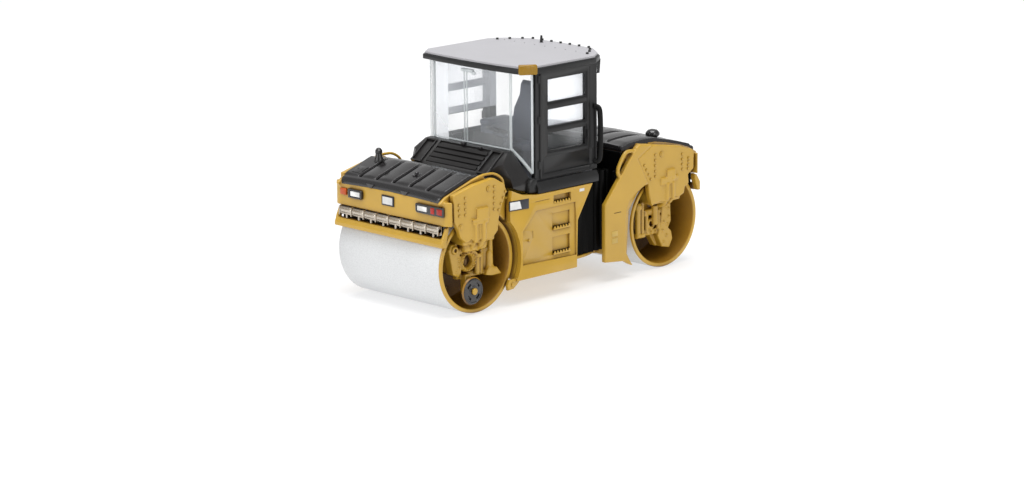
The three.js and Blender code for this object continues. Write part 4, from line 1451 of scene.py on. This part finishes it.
@dataclass
class RearArm(FrontArm):
    """Both fork arms of the rear drum, drawn as if at the front and then turned end for end."""

    outline: Sequence[Flat] = ((35.2, 24.1), (35.1, 20.4), (33.4, 19.4), (33.6, 17.4), (32.4, 16.9),
                               (32.1, 15.5), (30.6, 14.9), (29.4, 15.2), (28.4, 14.8), (27.4, 15.1),
                               (26.0, 14.6), (24.8, 14.9), (23.4, 14.7), (22.2, 14.2), (21.4, 16.6),
                               (21.0, 19.3), (17.85, 25.0), (22.2, 27.25), (23.6, 27.2),
                               (30.6, 26.0), (34.6, 24.6))
    bolt_rows: Sequence[tuple[Flat, Flat, int]] = (((31.37, 24.06), (31.39, 20.76), 4),
                                                   ((33.37, 22.97), (33.17, 20.7), 4),
                                                   ((23.03, 25.1), (23.05, 20.49), 5),
                                                   ((19.71, 23.36), (21.67, 20.11), 4))
    big_bolts: Sequence[Flat] = ((25.04, 25.0),)
    node: str = "rear_arm_"
    body: Body = Body.REAR

    def placed(self, kit: Builder, side: int) -> Builder:
        """Take a finished arm to its own side, turned end for end."""
        return kit.mirrored(side).reversed_ends()

    def casting(self, name: str, side: int) -> None:
        """Make one arm's casting.

        Args:
            name: left or right.
            side: 1 for left, -1 for right.
        """
        kit = Builder()
        kit.plate(self.outline, 15.5, self.face, "XZ", 0.18)
        kit.box((26.4, self.face - 0.4, 19.6), (29.0, self.face + 0.45, 21.4), 0.12)
        kit.box((28.0, self.face - 0.4, 19.0), (29.0, self.face + 0.47, 21.2), 0.1)
        kit.box((24.6, self.face - 0.4, 19.0), (30.0, self.face + 0.34, 19.9), 0.1)
        kit.box((24.6, self.face - 0.4, 18.3), (29.0, self.face + 0.26, 19.1), 0.08)
        for x, radius in ((26.8, 0.72), (28.5, 0.6)):
            kit.pipe(x, self.face - radius + 0.45, radius, 14.9, 18.5)
            kit.rod([(x, self.face - radius + 0.4, 15.4), (x + 0.1, self.face - 1.2, 14.2),
                     (x + 0.2, 14.2, 13.4)], radius, 14, 6)
        kit.turned([(0, 0), (0.85, 0), (0.9, 0.3), (0.75, 0.55), (0, 0.6)], (28.0, 14.8, 13.6),
                   (0, 1, 0.3), 24)
        kit.box((22.4, 12.0, 14.2), (31.6, 16.2, 17.4), 0.4)
        back = [(31.4, 15.4), (22.0, 15.6), (20.3, 14.8), (20.2, 7.2), (22.8, 6.6), (26.0, 7.0),
                (28.0, 4.0), (30.8, 3.6), (31.8, 5.6), (31.4, 9.0)]
        kit.plate(back, 10.5, 12.2, "XZ", 0.2)
        kit.plate([(31.2, 13.6), (28.6, 13.0), (28.2, 9.2), (27.2, 6.6), (28.6, 3.9), (30.9, 3.4),
                   (31.9, 5.2), (31.5, 7.0), (30.6, 7.8), (31.4, 9.2)], 12.0, 13.7, "XZ", 0.25)
        self.ram(kit)
        self.cylinders(kit)
        for x, z in ((30.4, 12.0), (30.5, 10.2), (30.2, 8.6), (29.0, 9.2), (28.6, 7.4), (29.8, 6.2),
                     (29.0, 4.9)):
            kit.stud((x, 13.6, z), (0.3, 0.26), (0.3, 0.34))
        node = self.node + name
        self.placed(kit, side).cast(node + "_casting", self.body, YELLOW, [node], CASTING_CELL, 2)

    def ram(self, kit: Builder) -> None:
        """Add the pair of upright pipes nearest the hitch.

        Args:
            kit: builder to add to.
        """
        kit.turned([(0, 0), (0.9, 0), (0.75, 0.6), (0.6, 0.8), (0.6, 5.8), (0.85, 6.1), (0.9, 6.8),
                    (0.6, 7.3), (0, 7.4)], (21.1, 13.6, 7.2), UP, 24)
        kit.pipe(22.5, 13.4, 0.5, 7.2, 14.6)
        kit.box((20.3, 11.8, 6.9), (23.2, 14.0, 7.8), 0.2)

    def cylinders(self, kit: Builder) -> None:
        """Add the drive block with its short pipes and crevices.

        Args:
            kit: builder to add to.
        """
        kit.box((23.4, 11.8, 11.2), (28.4, 13.4, 12.6), 0.3)
        kit.box((23.2, 11.8, 6.9), (28.0, 13.2, 8.2), 0.3)
        kit.pipe(24.3, 13.0, 0.5, 7.8, 11.6)
        kit.pipe(26.2, 13.6, 0.75, 9.2, 13.4)
        kit.pipe(27.6, 13.2, 0.5, 8.0, 12.2)
        kit.ring([(0.5, 0), (1.25, 0), (1.2, 0.9), (0.9, 1.1), (0.6, 0.9)], (25.6, 12.4, 9.4),
                 ACROSS, 24)
        for x, z in ((24.2, 7.6), (25.5, 7.5), (26.8, 7.4), (24.0, 12.0), (25.2, 12.1)):
            kit.stud((x, 13.2, z), (0.28, 0.24), (0.3, 0.34))


@dataclass
class EdgeCutter:
    """The black edge cutting disc with its yellow hub, slots and an edge ring in the shaded copy of
    the yellow.
    """

    x: float = 29.2
    z: float = 4.85
    radius: float = 2.9
    inner: float = 15.3
    outer: float = 15.95

    def build(self) -> None:
        """Make the disc, its edge ring and its hub."""
        r, low, high = self.radius, self.inner, self.outer
        place = (self.x, 0, self.z)
        disc = [(0.56, low + 0.1), (2.5, low + 0.1), (2.66, low + 0.2), (2.66, high - 0.2),
                (2.5, high - 0.06), (2.3, high - 0.02), (2.2, high - 0.14), (1.15, high - 0.14),
                (1.05, high), (0.56, high + 0.02)]
        body = Builder().ring(disc, place, ACROSS, 72)
        slots = []
        for turn in circle((self.x, self.z), 1.68, 45, 315, 3):
            angle = math.atan2(turn[1] - self.z, turn[0] - self.x)
            tilt = Matrix.Rotation(-angle, 4, "Y")
            slot = Builder().box((turn[0] - 0.2, high - 0.42, turn[1] - 0.55),
                                 (turn[0] + 0.2, high + 1, turn[1] + 0.55), 0, tilt)
            slots.append(slot.mesh("slot"))
        kit = Builder()
        kit.bm.from_mesh(with_modifiers(carved(body.mesh("disc"), slots), rounded(0.06, 2, 40)))
        kit.done("edge_disc_finished", Body.DISC, BLACK, ["edge_disc"])
        edge = [(2.45, low), (r - 0.05, low + 0.02), (r, low + 0.1), (r - 0.08, low + 0.24),
                (2.66, low + 0.42), (2.45, low + 0.42)]
        # The edge ring takes the darker copy of the yellow: painted shade over its yellow.
        Builder().ring(edge, place, ACROSS, 56).done("edge_disc_rim", Body.DISC, SHADED_YELLOW)
        hub = [(0.1, high - 0.1), (0.68, high - 0.1), (0.68, high + 0.3), (0.56, high + 0.42),
               (0.1, high + 0.42)]
        Builder().ring(hub, place, ACROSS, 32).done("edge_disc_hub", Body.DISC, YELLOW)


@dataclass
class SideSkin:
    """Both yellow side panels with their recesses, treads and patches, the sills, the chassis."""

    inner: float = 15.6
    face: float = 16.8
    floors: Sequence[float] = (8.8, 14.0, 19.35)
    tops: Sequence[float] = (12.4, 17.4, 21.2)
    rear: float = 2.2
    front: float = 7.25

    def build(self) -> None:
        """Make the panels and the pieces on them."""
        softened("chassis", Body.FRONT, YELLOW, 0.15)
        for name, side in SIDES.items():
            self.panel(name, side)
            self.treads(name, side)
            self.sill(name, side)
        self.patches()

    def panel(self, name: str, side: int) -> None:
        """Make one panel with its recesses cut in.

        Args:
            name: left or right.
            side: 1 for left, -1 for right.
        """
        front = circle((27.55, 10.16), 10.92, 136, 208, 30)
        outline = [(0.5, 5.0), (0.2, 15.0), (-4.2, 22.0), (12.0, 22.05), (15.9, 22.6), (19.0, 23.9),
                   (19.7, 20.6), *front]
        plate = Builder().plate(outline, self.inner, self.face, "XZ", 0)
        door = [(16.15, 8.0), (16.05, 15.1), (12.3, 18.8), (0.9, 18.9), (0.62, 16.0), (0.62, 7.7)]
        recess = Builder().plate(door, self.face - 0.42, self.face + 1, "XZ", 0)
        tools = [recess.mesh("door_recess")]
        for low, high in zip(self.floors, self.tops):
            well = Builder().box((self.rear, self.face - 0.85, low),
                                 (self.front, self.face + 1, high), 0)
            tools.append(well.mesh("well"))
        seam = Builder().box((8.5, self.face - 0.1, 20.6), (12.5, self.face + 1, 20.74), 0)
        slot = Builder().box((12.8, self.face - 0.5, 13.2), (12.98, self.face + 1, 14.7), 0)
        tools += [seam.mesh("seam"), slot.mesh("latch_slot")]
        mesh = with_modifiers(carved(plate.mesh("panel"), tools), rounded(0.09, 2, 40))
        kit = Builder()
        kit.bm.from_mesh(mesh)
        lug = [(20.2, 4.4), (19.6, 5.5), (16.8, 5.6), (16.9, 4.7), (18.5, 3.5), (20.0, 3.4)]
        kit.plate(lug, self.inner, self.face - 0.3, "XZ", 0.25)
        kit.stud((18.9, self.face - 0.35, 4.5), (0.42, 0.4), (0.25, 0.3), steps=16)
        kit.stud((14.05, self.face - 0.44, 12.9), (0.3, 0.27), (0.2, 0.24), steps=16)
        node = "side_panel_" + name
        kit.mirrored(side).done(node + "_finished", Body.FRONT, YELLOW, [node], 35)

    def treads(self, name: str, side: int) -> None:
        """Make one side's saw-edged treads and the near-black painted shade at the edges of their
        wells, behind the teeth.

        Args:
            name: left or right.
            side: 1 for left, -1 for right.
        """
        kit, dark = Builder(), Builder()
        for low in self.floors:
            kit.box((self.rear + 0.05, self.face - 0.75, low - 0.1),
                    (self.front - 0.05, self.face - 0.05, low + 0.22), 0.05)
            for i in range(6):
                x = self.rear + 0.45 + i * 0.83
                foot, tip = low + 0.15, low + 0.62
                tooth = [(x - 0.3, foot), (x + 0.3, foot), (x + 0.14, tip), (x - 0.14, tip)]
                kit.plate(tooth, self.face - 0.3, self.face - 0.05, "XZ", 0.04)
            # Painted shade: near-black strips behind the teeth stand for the shadow deep in each
            # well.
            dark.box((self.rear + 0.02, self.face - 0.84, low + 0.2),
                     (self.front - 0.02, self.face - 0.4, low + 0.6), 0.04)
        kit.mirrored(side).done("treads_" + name, Body.FRONT, YELLOW)
        dark.mirrored(side).done("tread_gap_shade_" + name, Body.FRONT, SHADE_AND_SEAM_BLACK)

    def sill(self, name: str, side: int) -> None:
        """Make one black sill with its sloping top and rounded front foot.

        Args:
            name: left or right.
            side: 1 for left, -1 for right.
        """
        kit = Builder()
        kit.plate([(15.5, 22.15), (16.55, 22.15), (16.6, 23.3), (15.95, 24.4), (15.5, 24.4)], -6.3,
                  11.4, "YZ", 0.16)
        kit.plate([(11.0, 22.2), (13.6, 22.5), (13.4, 24.4), (12.5, 25.2), (11.2, 25.3)], 14.6,
                  16.1, "XZ", 0.35)
        kit.mirrored(side).done("sill_" + name + "_finished", Body.FRONT, CHARCOAL,
                                ["sill_" + name])

    def patches(self) -> None:
        """Make the blank patches where the machine's plates and labels go."""
        for name, side in SIDES.items():
            dark = Builder().plate([(20.0, 21.9), (14.4, 21.7), (14.4, 19.65), (20.0, 19.85)],
                                   self.face - 0.1, self.face + 0.05, "XZ", 0.03)
            dark.mirrored(side).done("name_plate_" + name, Body.FRONT, BADGE_DARK)
            pale = Builder().plate([(19.75, 21.65), (17.0, 21.55), (16.5, 19.95), (19.75, 20.05)],
                                   self.face, self.face + 0.09, "XZ", 0.03)
            pale.mirrored(side).done("name_plate_blank_" + name, Body.FRONT, BADGE_PALE)
            small = Builder().plate([(-0.3, 21.4), (-1.7, 21.38), (-1.7, 20.8), (-0.3, 20.78)],
                                    self.face - 0.1, self.face + 0.04, "XZ", 0.03)
            small.mirrored(side).done("small_patch_" + name, Body.FRONT, BADGE_PALE)


@dataclass
class Cowl:
    """The black ramp before the windscreen with its louvres and the frames on its shoulders."""

    foot: Flat = (21.1, 26.35)
    head: Flat = (15.75, 30.55)
    half: float = 7.3
    louvre_from: float = 0.15
    louvre_pitch: float = 0.2

    def build(self) -> None:
        """Make the ramp, the louvres and the frames on its shoulders."""
        softened("cowl", Body.FRONT, RAMP_BLACK, 0.45, 4)
        self.louvres()
        self.frames()

    def on_ramp(self, along: float, up: float = 0.0) -> Flat:
        """A point over the ramp's slope.

        Args:
            along: 0 at the foot, 1 at the head.
            up: height above the ramp.

        Returns:
            The point's x and z.
        """
        foot, head = Vector(self.foot), Vector(self.head)
        run = (head - foot).normalized()
        point = foot.lerp(head, along) + up * Vector((-run.y, run.x)) * -1
        return point.x, point.y

    def bar(self, low: float, high: float) -> list[Flat]:
        """Outline of a flat bar that lies on the ramp between two places."""
        return [self.on_ramp(low, -0.2), self.on_ramp(low, 0.4), self.on_ramp(high, 0.4),
                self.on_ramp(high, -0.2)]

    def louvres(self) -> None:
        """Make four broad louvres across the well."""
        kit = Builder()
        for i in range(4):
            a = self.louvre_from + i * self.louvre_pitch
            section = [self.on_ramp(a + b, up)
                       for b, up in ((0, -0.6), (0.02, 0.1), (0.12, 0.22), (0.15, -0.3))]
            kit.plate(section, -self.half, self.half, "XZ", 0.08)
        back = [self.on_ramp(a, up)
                for a, up in ((0.1, -0.9), (0.1, -0.6), (0.96, -0.6), (0.96, -0.9))]
        kit.plate(back, -self.half - 0.1, self.half + 0.1, "XZ", 0)
        kit.done("cowl_grille_finished", Body.FRONT, RAMP_BLACK, ["cowl_grille"])

    def frames(self) -> None:
        """Make the raised frames beside the louvres and the small boxes at the ramp's head."""
        kit = Builder()
        for side in SIDES.values():
            for y in (8.2, 10.9):
                low, high = sorted((side * y, side * (y + 0.3)))
                kit.plate(self.bar(0.08, 0.97), low, high, "XZ", 0.08)
            low, high = sorted((side * 8.2, side * 11.2))
            for a in (0.06, 0.93):
                kit.plate(self.bar(a, a + 0.05), low, high, "XZ", 0.06)
        kit.box((15.0, -1.5, 30.4), (15.9, -0.5, 31.1), 0.12)
        kit.box((15.3, 3.6, 30.3), (16.0, 4.6, 30.8), 0.12)
        kit.done("cowl_frames", Body.FRONT, RAMP_BLACK)


@dataclass
class Cab:
    """The cab: floor, doors, glazing with its moulded edges, wiper, seat, wheel, roof and lamp."""

    door_inner: float = 14.35
    door_outer: float = 15.3
    head: float = 46.6
    windows: Sequence[Flat] = ((30.1, 33.8), (35.2, 38.7), (40.2, 44.9))

    def build(self) -> None:
        """Make every piece of the cab."""
        for node, finish in (("cab_floor", CAB_FLOOR), ("cab_rear_shelf", CHARCOAL),
                             ("console", SEAT_GREY), ("steering_column", CHARCOAL),
                             ("steering_wheel", CHARCOAL), ("hitch_pin", STEEL)):
            softened(node, Body.FRONT, finish)
        softened("seat", Body.FRONT, SEAT_GREY, 0.4, 4)
        for node in ("windscreen", "rear_glass"):
            softened(node, Body.FRONT, GLAZING, 0.08)
        for name, side in SIDES.items():
            for node in ("door_glass_", "corner_glass_", "rear_corner_glass_"):
                softened(node + name, Body.FRONT, GLAZING, 0.08)
            self.door(name, side)
            self.glazing_edges(name, side)
            self.insert(name, side)
        self.wiper()
        self.roof()
        self.beacon()
        self.grab_bar()

    def door(self, name: str, side: int) -> None:
        """Make one door: frame, recessed lower panel, window rebates, hinges and handle.

        Args:
            name: left or right.
            side: 1 for left, -1 for right.
        """
        outline = [(-7.0, 24.55), (-7.0, self.head), (10.8, self.head), (10.8, 26.3), (11.4, 24.55)]
        slab = Builder().plate(outline, self.door_inner, self.door_outer, "XZ", 0)
        tools = [Builder().box((-3.8, 13, low), (7.1, 17, high), 0).mesh("window")
                 for low, high in self.windows]
        tools += [Builder().box((-4.2, 15.15, low - 0.35), (7.5, 17, high + 0.35), 0).mesh("rebate")
                  for low, high in self.windows]
        tools.append(Builder().box((-5.9, 15.12, 25.6), (8.4, 17, 29.0), 0).mesh("lower_panel"))
        tools.append(Builder().box((-5.0, 15.05, 25.0), (-4.9, 17, 46.2), 0).mesh("shut_line"))
        mesh = with_modifiers(carved(slab.mesh("door"), tools), rounded(0.12, 2, 40))
        kit = Builder()
        kit.bm.from_mesh(mesh)
        kit.box((9.2, 15.0, 24.7), (9.7, 15.5, 46.4), 0.12)
        for z in (27.6, 36.9, 45.3):
            kit.stud((9.9, 15.3, z - 0.75), (0.3, 0.3), (1.5, 1.5), UP, 14)
        kit.box((-4.4, 15.1, 31.3), (-3.95, 15.75, 33.0), 0.15)
        kit.mirrored(side).done("door_" + name + "_finished", Body.FRONT, CHARCOAL,
                                ["door_" + name], 35)

    def glazing_edges(self, name: str, side: int) -> None:
        """Make the thick clear edges where the moulded glazing turns its corners.

        Args:
            name: left or right.
            side: 1 for left, -1 for right.
        """
        kit = Builder()
        kit.rod([(13.8, 11.2, 30.9), (13.8, 11.2, self.head)], 0.3, 10, 1)
        kit.rod([(11.35, 14.85, 26.2), (11.35, 14.85, self.head)], 0.26, 10, 1)
        kit.rod([(13.75, 11.3, 30.95), (12.5, 13.2, 28.6), (11.35, 14.9, 26.1)], 0.36, 10, 4)
        kit.rod([(-11.5, 7.6, 30.2), (-11.5, 7.6, self.head)], 0.26, 10, 1)
        kit.mirrored(side).done("glazing_edges_" + name, Body.FRONT, EDGE_CLEAR)

    def insert(self, name: str, side: int) -> None:
        """Make the clear insert that lines a door inside, with its thicker front flange.

        Args:
            name: left or right.
            side: 1 for left, -1 for right.
        """
        # The insert and its flange carry an emission: painted light that keeps them as bright as
        # the surround seen through them.
        sheet = Builder().plate([(-6.8, 34.0), (-6.8, 46.5), (7.3, 46.5), (7.3, 34.0)], 14.05,
                                14.15, "XZ", 0.02)
        sheet.mirrored(side).done("door_insert_" + name, Body.FRONT, INSERT)
        flange = Builder().plate([(7.35, 28.6), (7.35, 46.5), (10.7, 46.5), (10.7, 28.6)], 13.95,
                                 14.15, "XZ", 0.03)
        flange.mirrored(side).done("door_insert_flange_" + name, Body.FRONT, INSERT_FLANGE)

    def wiper(self) -> None:
        """Make the wiper seam in the middle of the windscreen with its pivot."""
        kit = Builder()
        kit.box((14.0, -2.1, 31.0), (14.25, -1.85, 46.2), 0.06)
        kit.box((14.0, -1.35, 31.0), (14.25, -1.1, 46.2), 0.06)
        kit.box((13.95, -2.5, 45.5), (14.7, 0.9, 46.2), 0.2)
        kit.box((14.0, 0.6, 45.1), (14.7, 1.5, 45.8), 0.2)
        kit.done("wiper", Body.FRONT, EDGE_CLEAR)
        foot = Builder().box((13.95, -11.2, 30.75), (14.2, 11.2, 31.05), 0.08)
        foot.done("windscreen_foot", Body.FRONT, EDGE_CLEAR)

    def roof(self) -> None:
        """Make the roof's black band, its grey skin, studs, aerial and rear brackets."""
        softened("roof_frame", Body.FRONT, CHARCOAL, 0.2, 3)
        skin = with_modifiers(node_mesh("roof_skin"), rounded(0.14, 3))
        add_piece("roof_skin_finished", skin, Body.FRONT, ROOF_GREY, ["roof_skin"], 8.0)
        faint = Builder()
        for i in range(8):
            faint.stud((-7.1, -11.8 + i * 3.0, 48.23), (0.16, 0.14), (0.05, 0.06), UP, 12)
        faint.done("roof_dimples", Body.FRONT, CHARCOAL)
        kit = Builder()
        for side in SIDES.values():
            kit.plate([(-10.4, 46.75), (-8.3, 46.75), (-8.6, 45.4), (-9.4, 43.8), (-10.1, 43.8)],
                      *sorted((side * 12.7, side * 13.2)), "XZ", 0.12)
        kit.done("roof_brackets", Body.FRONT, CHARCOAL)

    def beacon(self) -> None:
        """Make the ribbed amber lamp on the roof's front left corner."""
        softened("beacon", Body.FRONT, AMBER, 0.3, 4)
        turn, out = math.radians(-35.5), 1.13
        kit = Builder()
        for i in range(7):
            along = -1.5 + 0.5 * i
            x = 12.9 + along * math.cos(turn) - out * math.sin(turn)
            y = 15.1 + along * math.sin(turn) + out * math.cos(turn)
            kit.rod([(x, y, 47.1), (x, y, 48.5)], 0.13, 8, 1)
        kit.done("beacon_ribs", Body.FRONT, AMBER)

    def grab_bar(self) -> None:
        """Make the thick handle behind the door."""
        kit = Builder()
        kit.rod([(-6.2, 15.4, 26.1), (-6.6, 16.1, 26.3), (-6.8, 16.4, 27.6), (-6.9, 16.45, 32),
                 (-6.8, 16.4, 36.2), (-6.6, 16.1, 37.4), (-6.2, 15.4, 37.6)], 0.56, 12, 6)
        kit.done("grab_bar_finished", Body.FRONT, RUBBER, ["grab_bar"])


@dataclass
class RearFrame:
    """What turns behind the hitch: body, hood, cap, side plates, wall, bellows, beam and lamps."""

    line: Sequence[Flat] = ((-14.5, 27.9), (-20.0, 28.2), (-24.0, 28.05), (-27.4, 27.3),
                            (-30.0, 26.7), (-33.0, 25.9), (-36.0, 25.0), (-36.6, 24.6))

    def build(self) -> None:
        """Make every piece of the rear frame."""
        softened("rear_body", Body.REAR, YELLOW, 0.2)
        Hood("rear_hood", Body.REAR, self.line, -16.0, -35.6, half=15.2, crown=0.3,
             thick=1.7).build()
        cap = filler_cap(Builder(), -28.4, 11.0, 26.55, 1.1, 1.42, 2.5)
        cap.done("rear_cap_finished", Body.REAR, BLACK, ["rear_cap"])
        # Bulkhead and bellows are real black parts, coloured near-black with little shine as
        # painted shade, since they sit deep in shadow behind the cab.
        softened("rear_bulkhead", Body.REAR, SHADE_AND_SEAM_BLACK, 0.15, 2)
        softened("bellows", Body.REAR, SHADE_AND_SEAM_BLACK, 0.1, 2)
        softened("rear_axle", Body.REAR, STEEL)
        for name, side in SIDES.items():
            self.plate(name, side)
            softened("rear_lamp_" + name, Body.REAR, RED_LENS, 0.1)
        cast_copy("rear_bumper", Body.REAR, YELLOW, 0.15, 2)

    def plate(self, name: str, side: int) -> None:
        """Make one upright side plate with its slotted grip.

        Args:
            name: left or right.
            side: 1 for left, -1 for right.
        """
        outline = [(-7.95, 4.4), (-7.95, 16.6), (-15.4, 25.1), (-17.5, 27.5), (-18.6, 27.95),
                   (-22.2, 27.45), (-17.75, 25.1), (-20.85, 19.4), (-19.9, 18.9), (-17.6, 17.9),
                   (-15.35, 16.3), (-14.6, 14.4), (-14.3, 12.4), (-14.3, 5.7), (-15.3, 4.0),
                   (-16.4, 2.4), (-15.0, 3.0), (-13.7, 3.8)]
        kit = Builder().plate(outline, 15.6, 16.8, "XZ", 0.22)
        kit.rod([(-13.0, 16.2, 21.5), (-12.3, 16.2, 22.8), (-12.6, 16.2, 24.1), (-13.8, 16.2, 25.9),
                 (-14.8, 16.2, 26.75), (-16.2, 16.2, 26.85), (-17.4, 16.2, 26.6)], 0.42, 12, 6)
        kit.plate([(-18.2, 27.2), (-18.7, 28.0), (-22.0, 27.5), (-21.6, 26.9)], 14.9, 16.7, "XZ",
                  0.2)
        kit.plate([(-15.6, 25.2), (-18.6, 27.9), (-23.5, 27.2), (-24.0, 19.2), (-20.0, 19.0)], 15.2,
                  16.7, "XZ", 0.1)
        node = "rear_plate_" + name
        kit.mirrored(side).cast(node + "_finished", Body.REAR, YELLOW, [node], 0.14, 2)
        label = Builder()
        for z in (10.2, 8.7):
            label.box((-11.6, 16.75, z - 0.55), (-9.9, 16.86, z + 0.55), 0.03)
        label.mirrored(side).done("blank_labels_" + name, Body.REAR, LABEL_GOLD)
        seam = Builder().box((-12.7, 16.75, 14.5), (-10.6, 16.83, 14.62), 0.02)
        seam.mirrored(side).done("plate_mark_" + name, Body.REAR, SHADE_AND_SEAM_BLACK)


@dataclass
class Studio:
    """Plain pale floor, soft lights and the camera."""

    azimuth: float = 135.47
    elevation: float = 13.2
    roll: float = -0.46
    lens: float = 119.53
    aim: Point = (0.0, 0.0, 23.44)
    offset: Flat = (1.826, 17.545)
    distance: float = 708.6
    floor_size: float = 6.0

    def build(self) -> None:
        """Make the floor, world, lights and camera."""
        self.floor()
        self.world()
        self.lights()
        self.camera()

    def floor(self) -> None:
        """Lay a wide pale floor that glows a little, as a lit table does."""
        bm = bmesh.new()
        bmesh.ops.create_grid(bm, x_segments=2, y_segments=2, size=self.floor_size / 2)
        mesh = mesh_from(bm, "floor")
        floor = bpy.data.objects.new("floor", mesh)
        bpy.context.scene.collection.objects.link(floor)
        kit = Shader("pale_floor")
        kit.set(Base_Color=(0.5, 0.5, 0.505, 1.0), Roughness=0.8, Specular_IOR_Level=0.1)
        kit.set(Emission_Color=(1.0, 1.0, 1.0, 1.0), Emission_Strength=0.5)
        mesh.materials.append(kit.material)

    def world(self) -> None:
        """Light everything evenly from a pale surround."""
        world = bpy.data.worlds.new("pale_surround")
        world.use_nodes = True
        world.node_tree.nodes["Background"].inputs["Color"].default_value = (1.0, 1.0, 1.0, 1.0)
        world.node_tree.nodes["Background"].inputs["Strength"].default_value = 0.42
        bpy.context.scene.world = world
        bpy.context.scene.view_settings.view_transform = "Standard"

    def lights(self) -> None:
        """Hang one large soft light overhead, and weaker ones before and beside the toy."""
        self.soft_light("overhead", (0.05, 0.05, 0.70), (0, 0, 0.02), 0.55, 4.6)
        self.soft_light("front_fill", (0.80, -0.10, 0.30), (0, 0, 0.02), 0.45, 2.0)
        self.soft_light("side_fill", (0.10, 0.85, 0.30), (0, 0, 0.02), 0.45, 1.6)
        self.soft_light("back_card", (-0.60, -0.70, 0.50), (0, 0, 0.03), 1.1, 1.1)

    def soft_light(self, name: str, place: Point, aim: Point, size: float, power: float) -> None:
        """Add a square area light.

        Args:
            name: the light's name.
            place: where it hangs, in metres.
            aim: what it points at.
            size: its width in metres.
            power: its power in watts.
        """
        data = bpy.data.lights.new(name, "AREA")
        data.size = size
        data.energy = power
        lamp = bpy.data.objects.new(name, data)
        lamp.location = place
        lamp.rotation_euler = (Vector(aim) - Vector(place)).to_track_quat("-Z", "Y").to_euler()
        bpy.context.scene.collection.objects.link(lamp)

    def camera(self) -> None:
        """Stand the camera off the toy's front left."""
        az, el, roll = (math.radians(a) for a in (self.azimuth, self.elevation, self.roll))
        back = Vector((math.sin(az) * math.cos(el), -math.cos(az) * math.cos(el), math.sin(el)))
        right = (-back).cross(Vector(UP)).normalized()
        up = right.cross(-back)
        right, up = (math.cos(roll) * right + math.sin(roll) * up,
                     math.cos(roll) * up - math.sin(roll) * right)
        place = at(*self.aim) + (-right * self.offset[0] - up * self.offset[1]
                                 + back * self.distance) * MM
        data = bpy.data.cameras.new("camera")
        data.lens = self.lens
        data.sensor_width = 36.0
        data.clip_start = 0.05
        camera = bpy.data.objects.new("camera", data)
        turn = Matrix((right, up, back)).transposed().to_4x4()
        camera.matrix_world = Matrix.Translation(place) @ turn
        bpy.context.scene.collection.objects.link(camera)
        bpy.context.scene.camera = camera


def main() -> None:
    """Build the toy and the studio."""
    logging.basicConfig(level=logging.INFO, format="%(message)s", stream=sys.stdout)
    Studio().build()
    Drum(Body.FRONT_DRUM, "front_drum", 27.55).build()
    Drum(Body.REAR_DRUM, "rear_drum", -27.55).build()
    FrontNose().build()
    Cowl().build()
    WaterBar("front_spray_bar", Body.FRONT, 37.25).build()
    WaterBar("rear_spray_bar", Body.REAR, -37.0).build()
    FrontArm().build()
    RearArm().build()
    EdgeCutter().build()
    SideSkin().build()
    Cab().build()
    RearFrame().build()


if __name__ == "__main__":
    main()
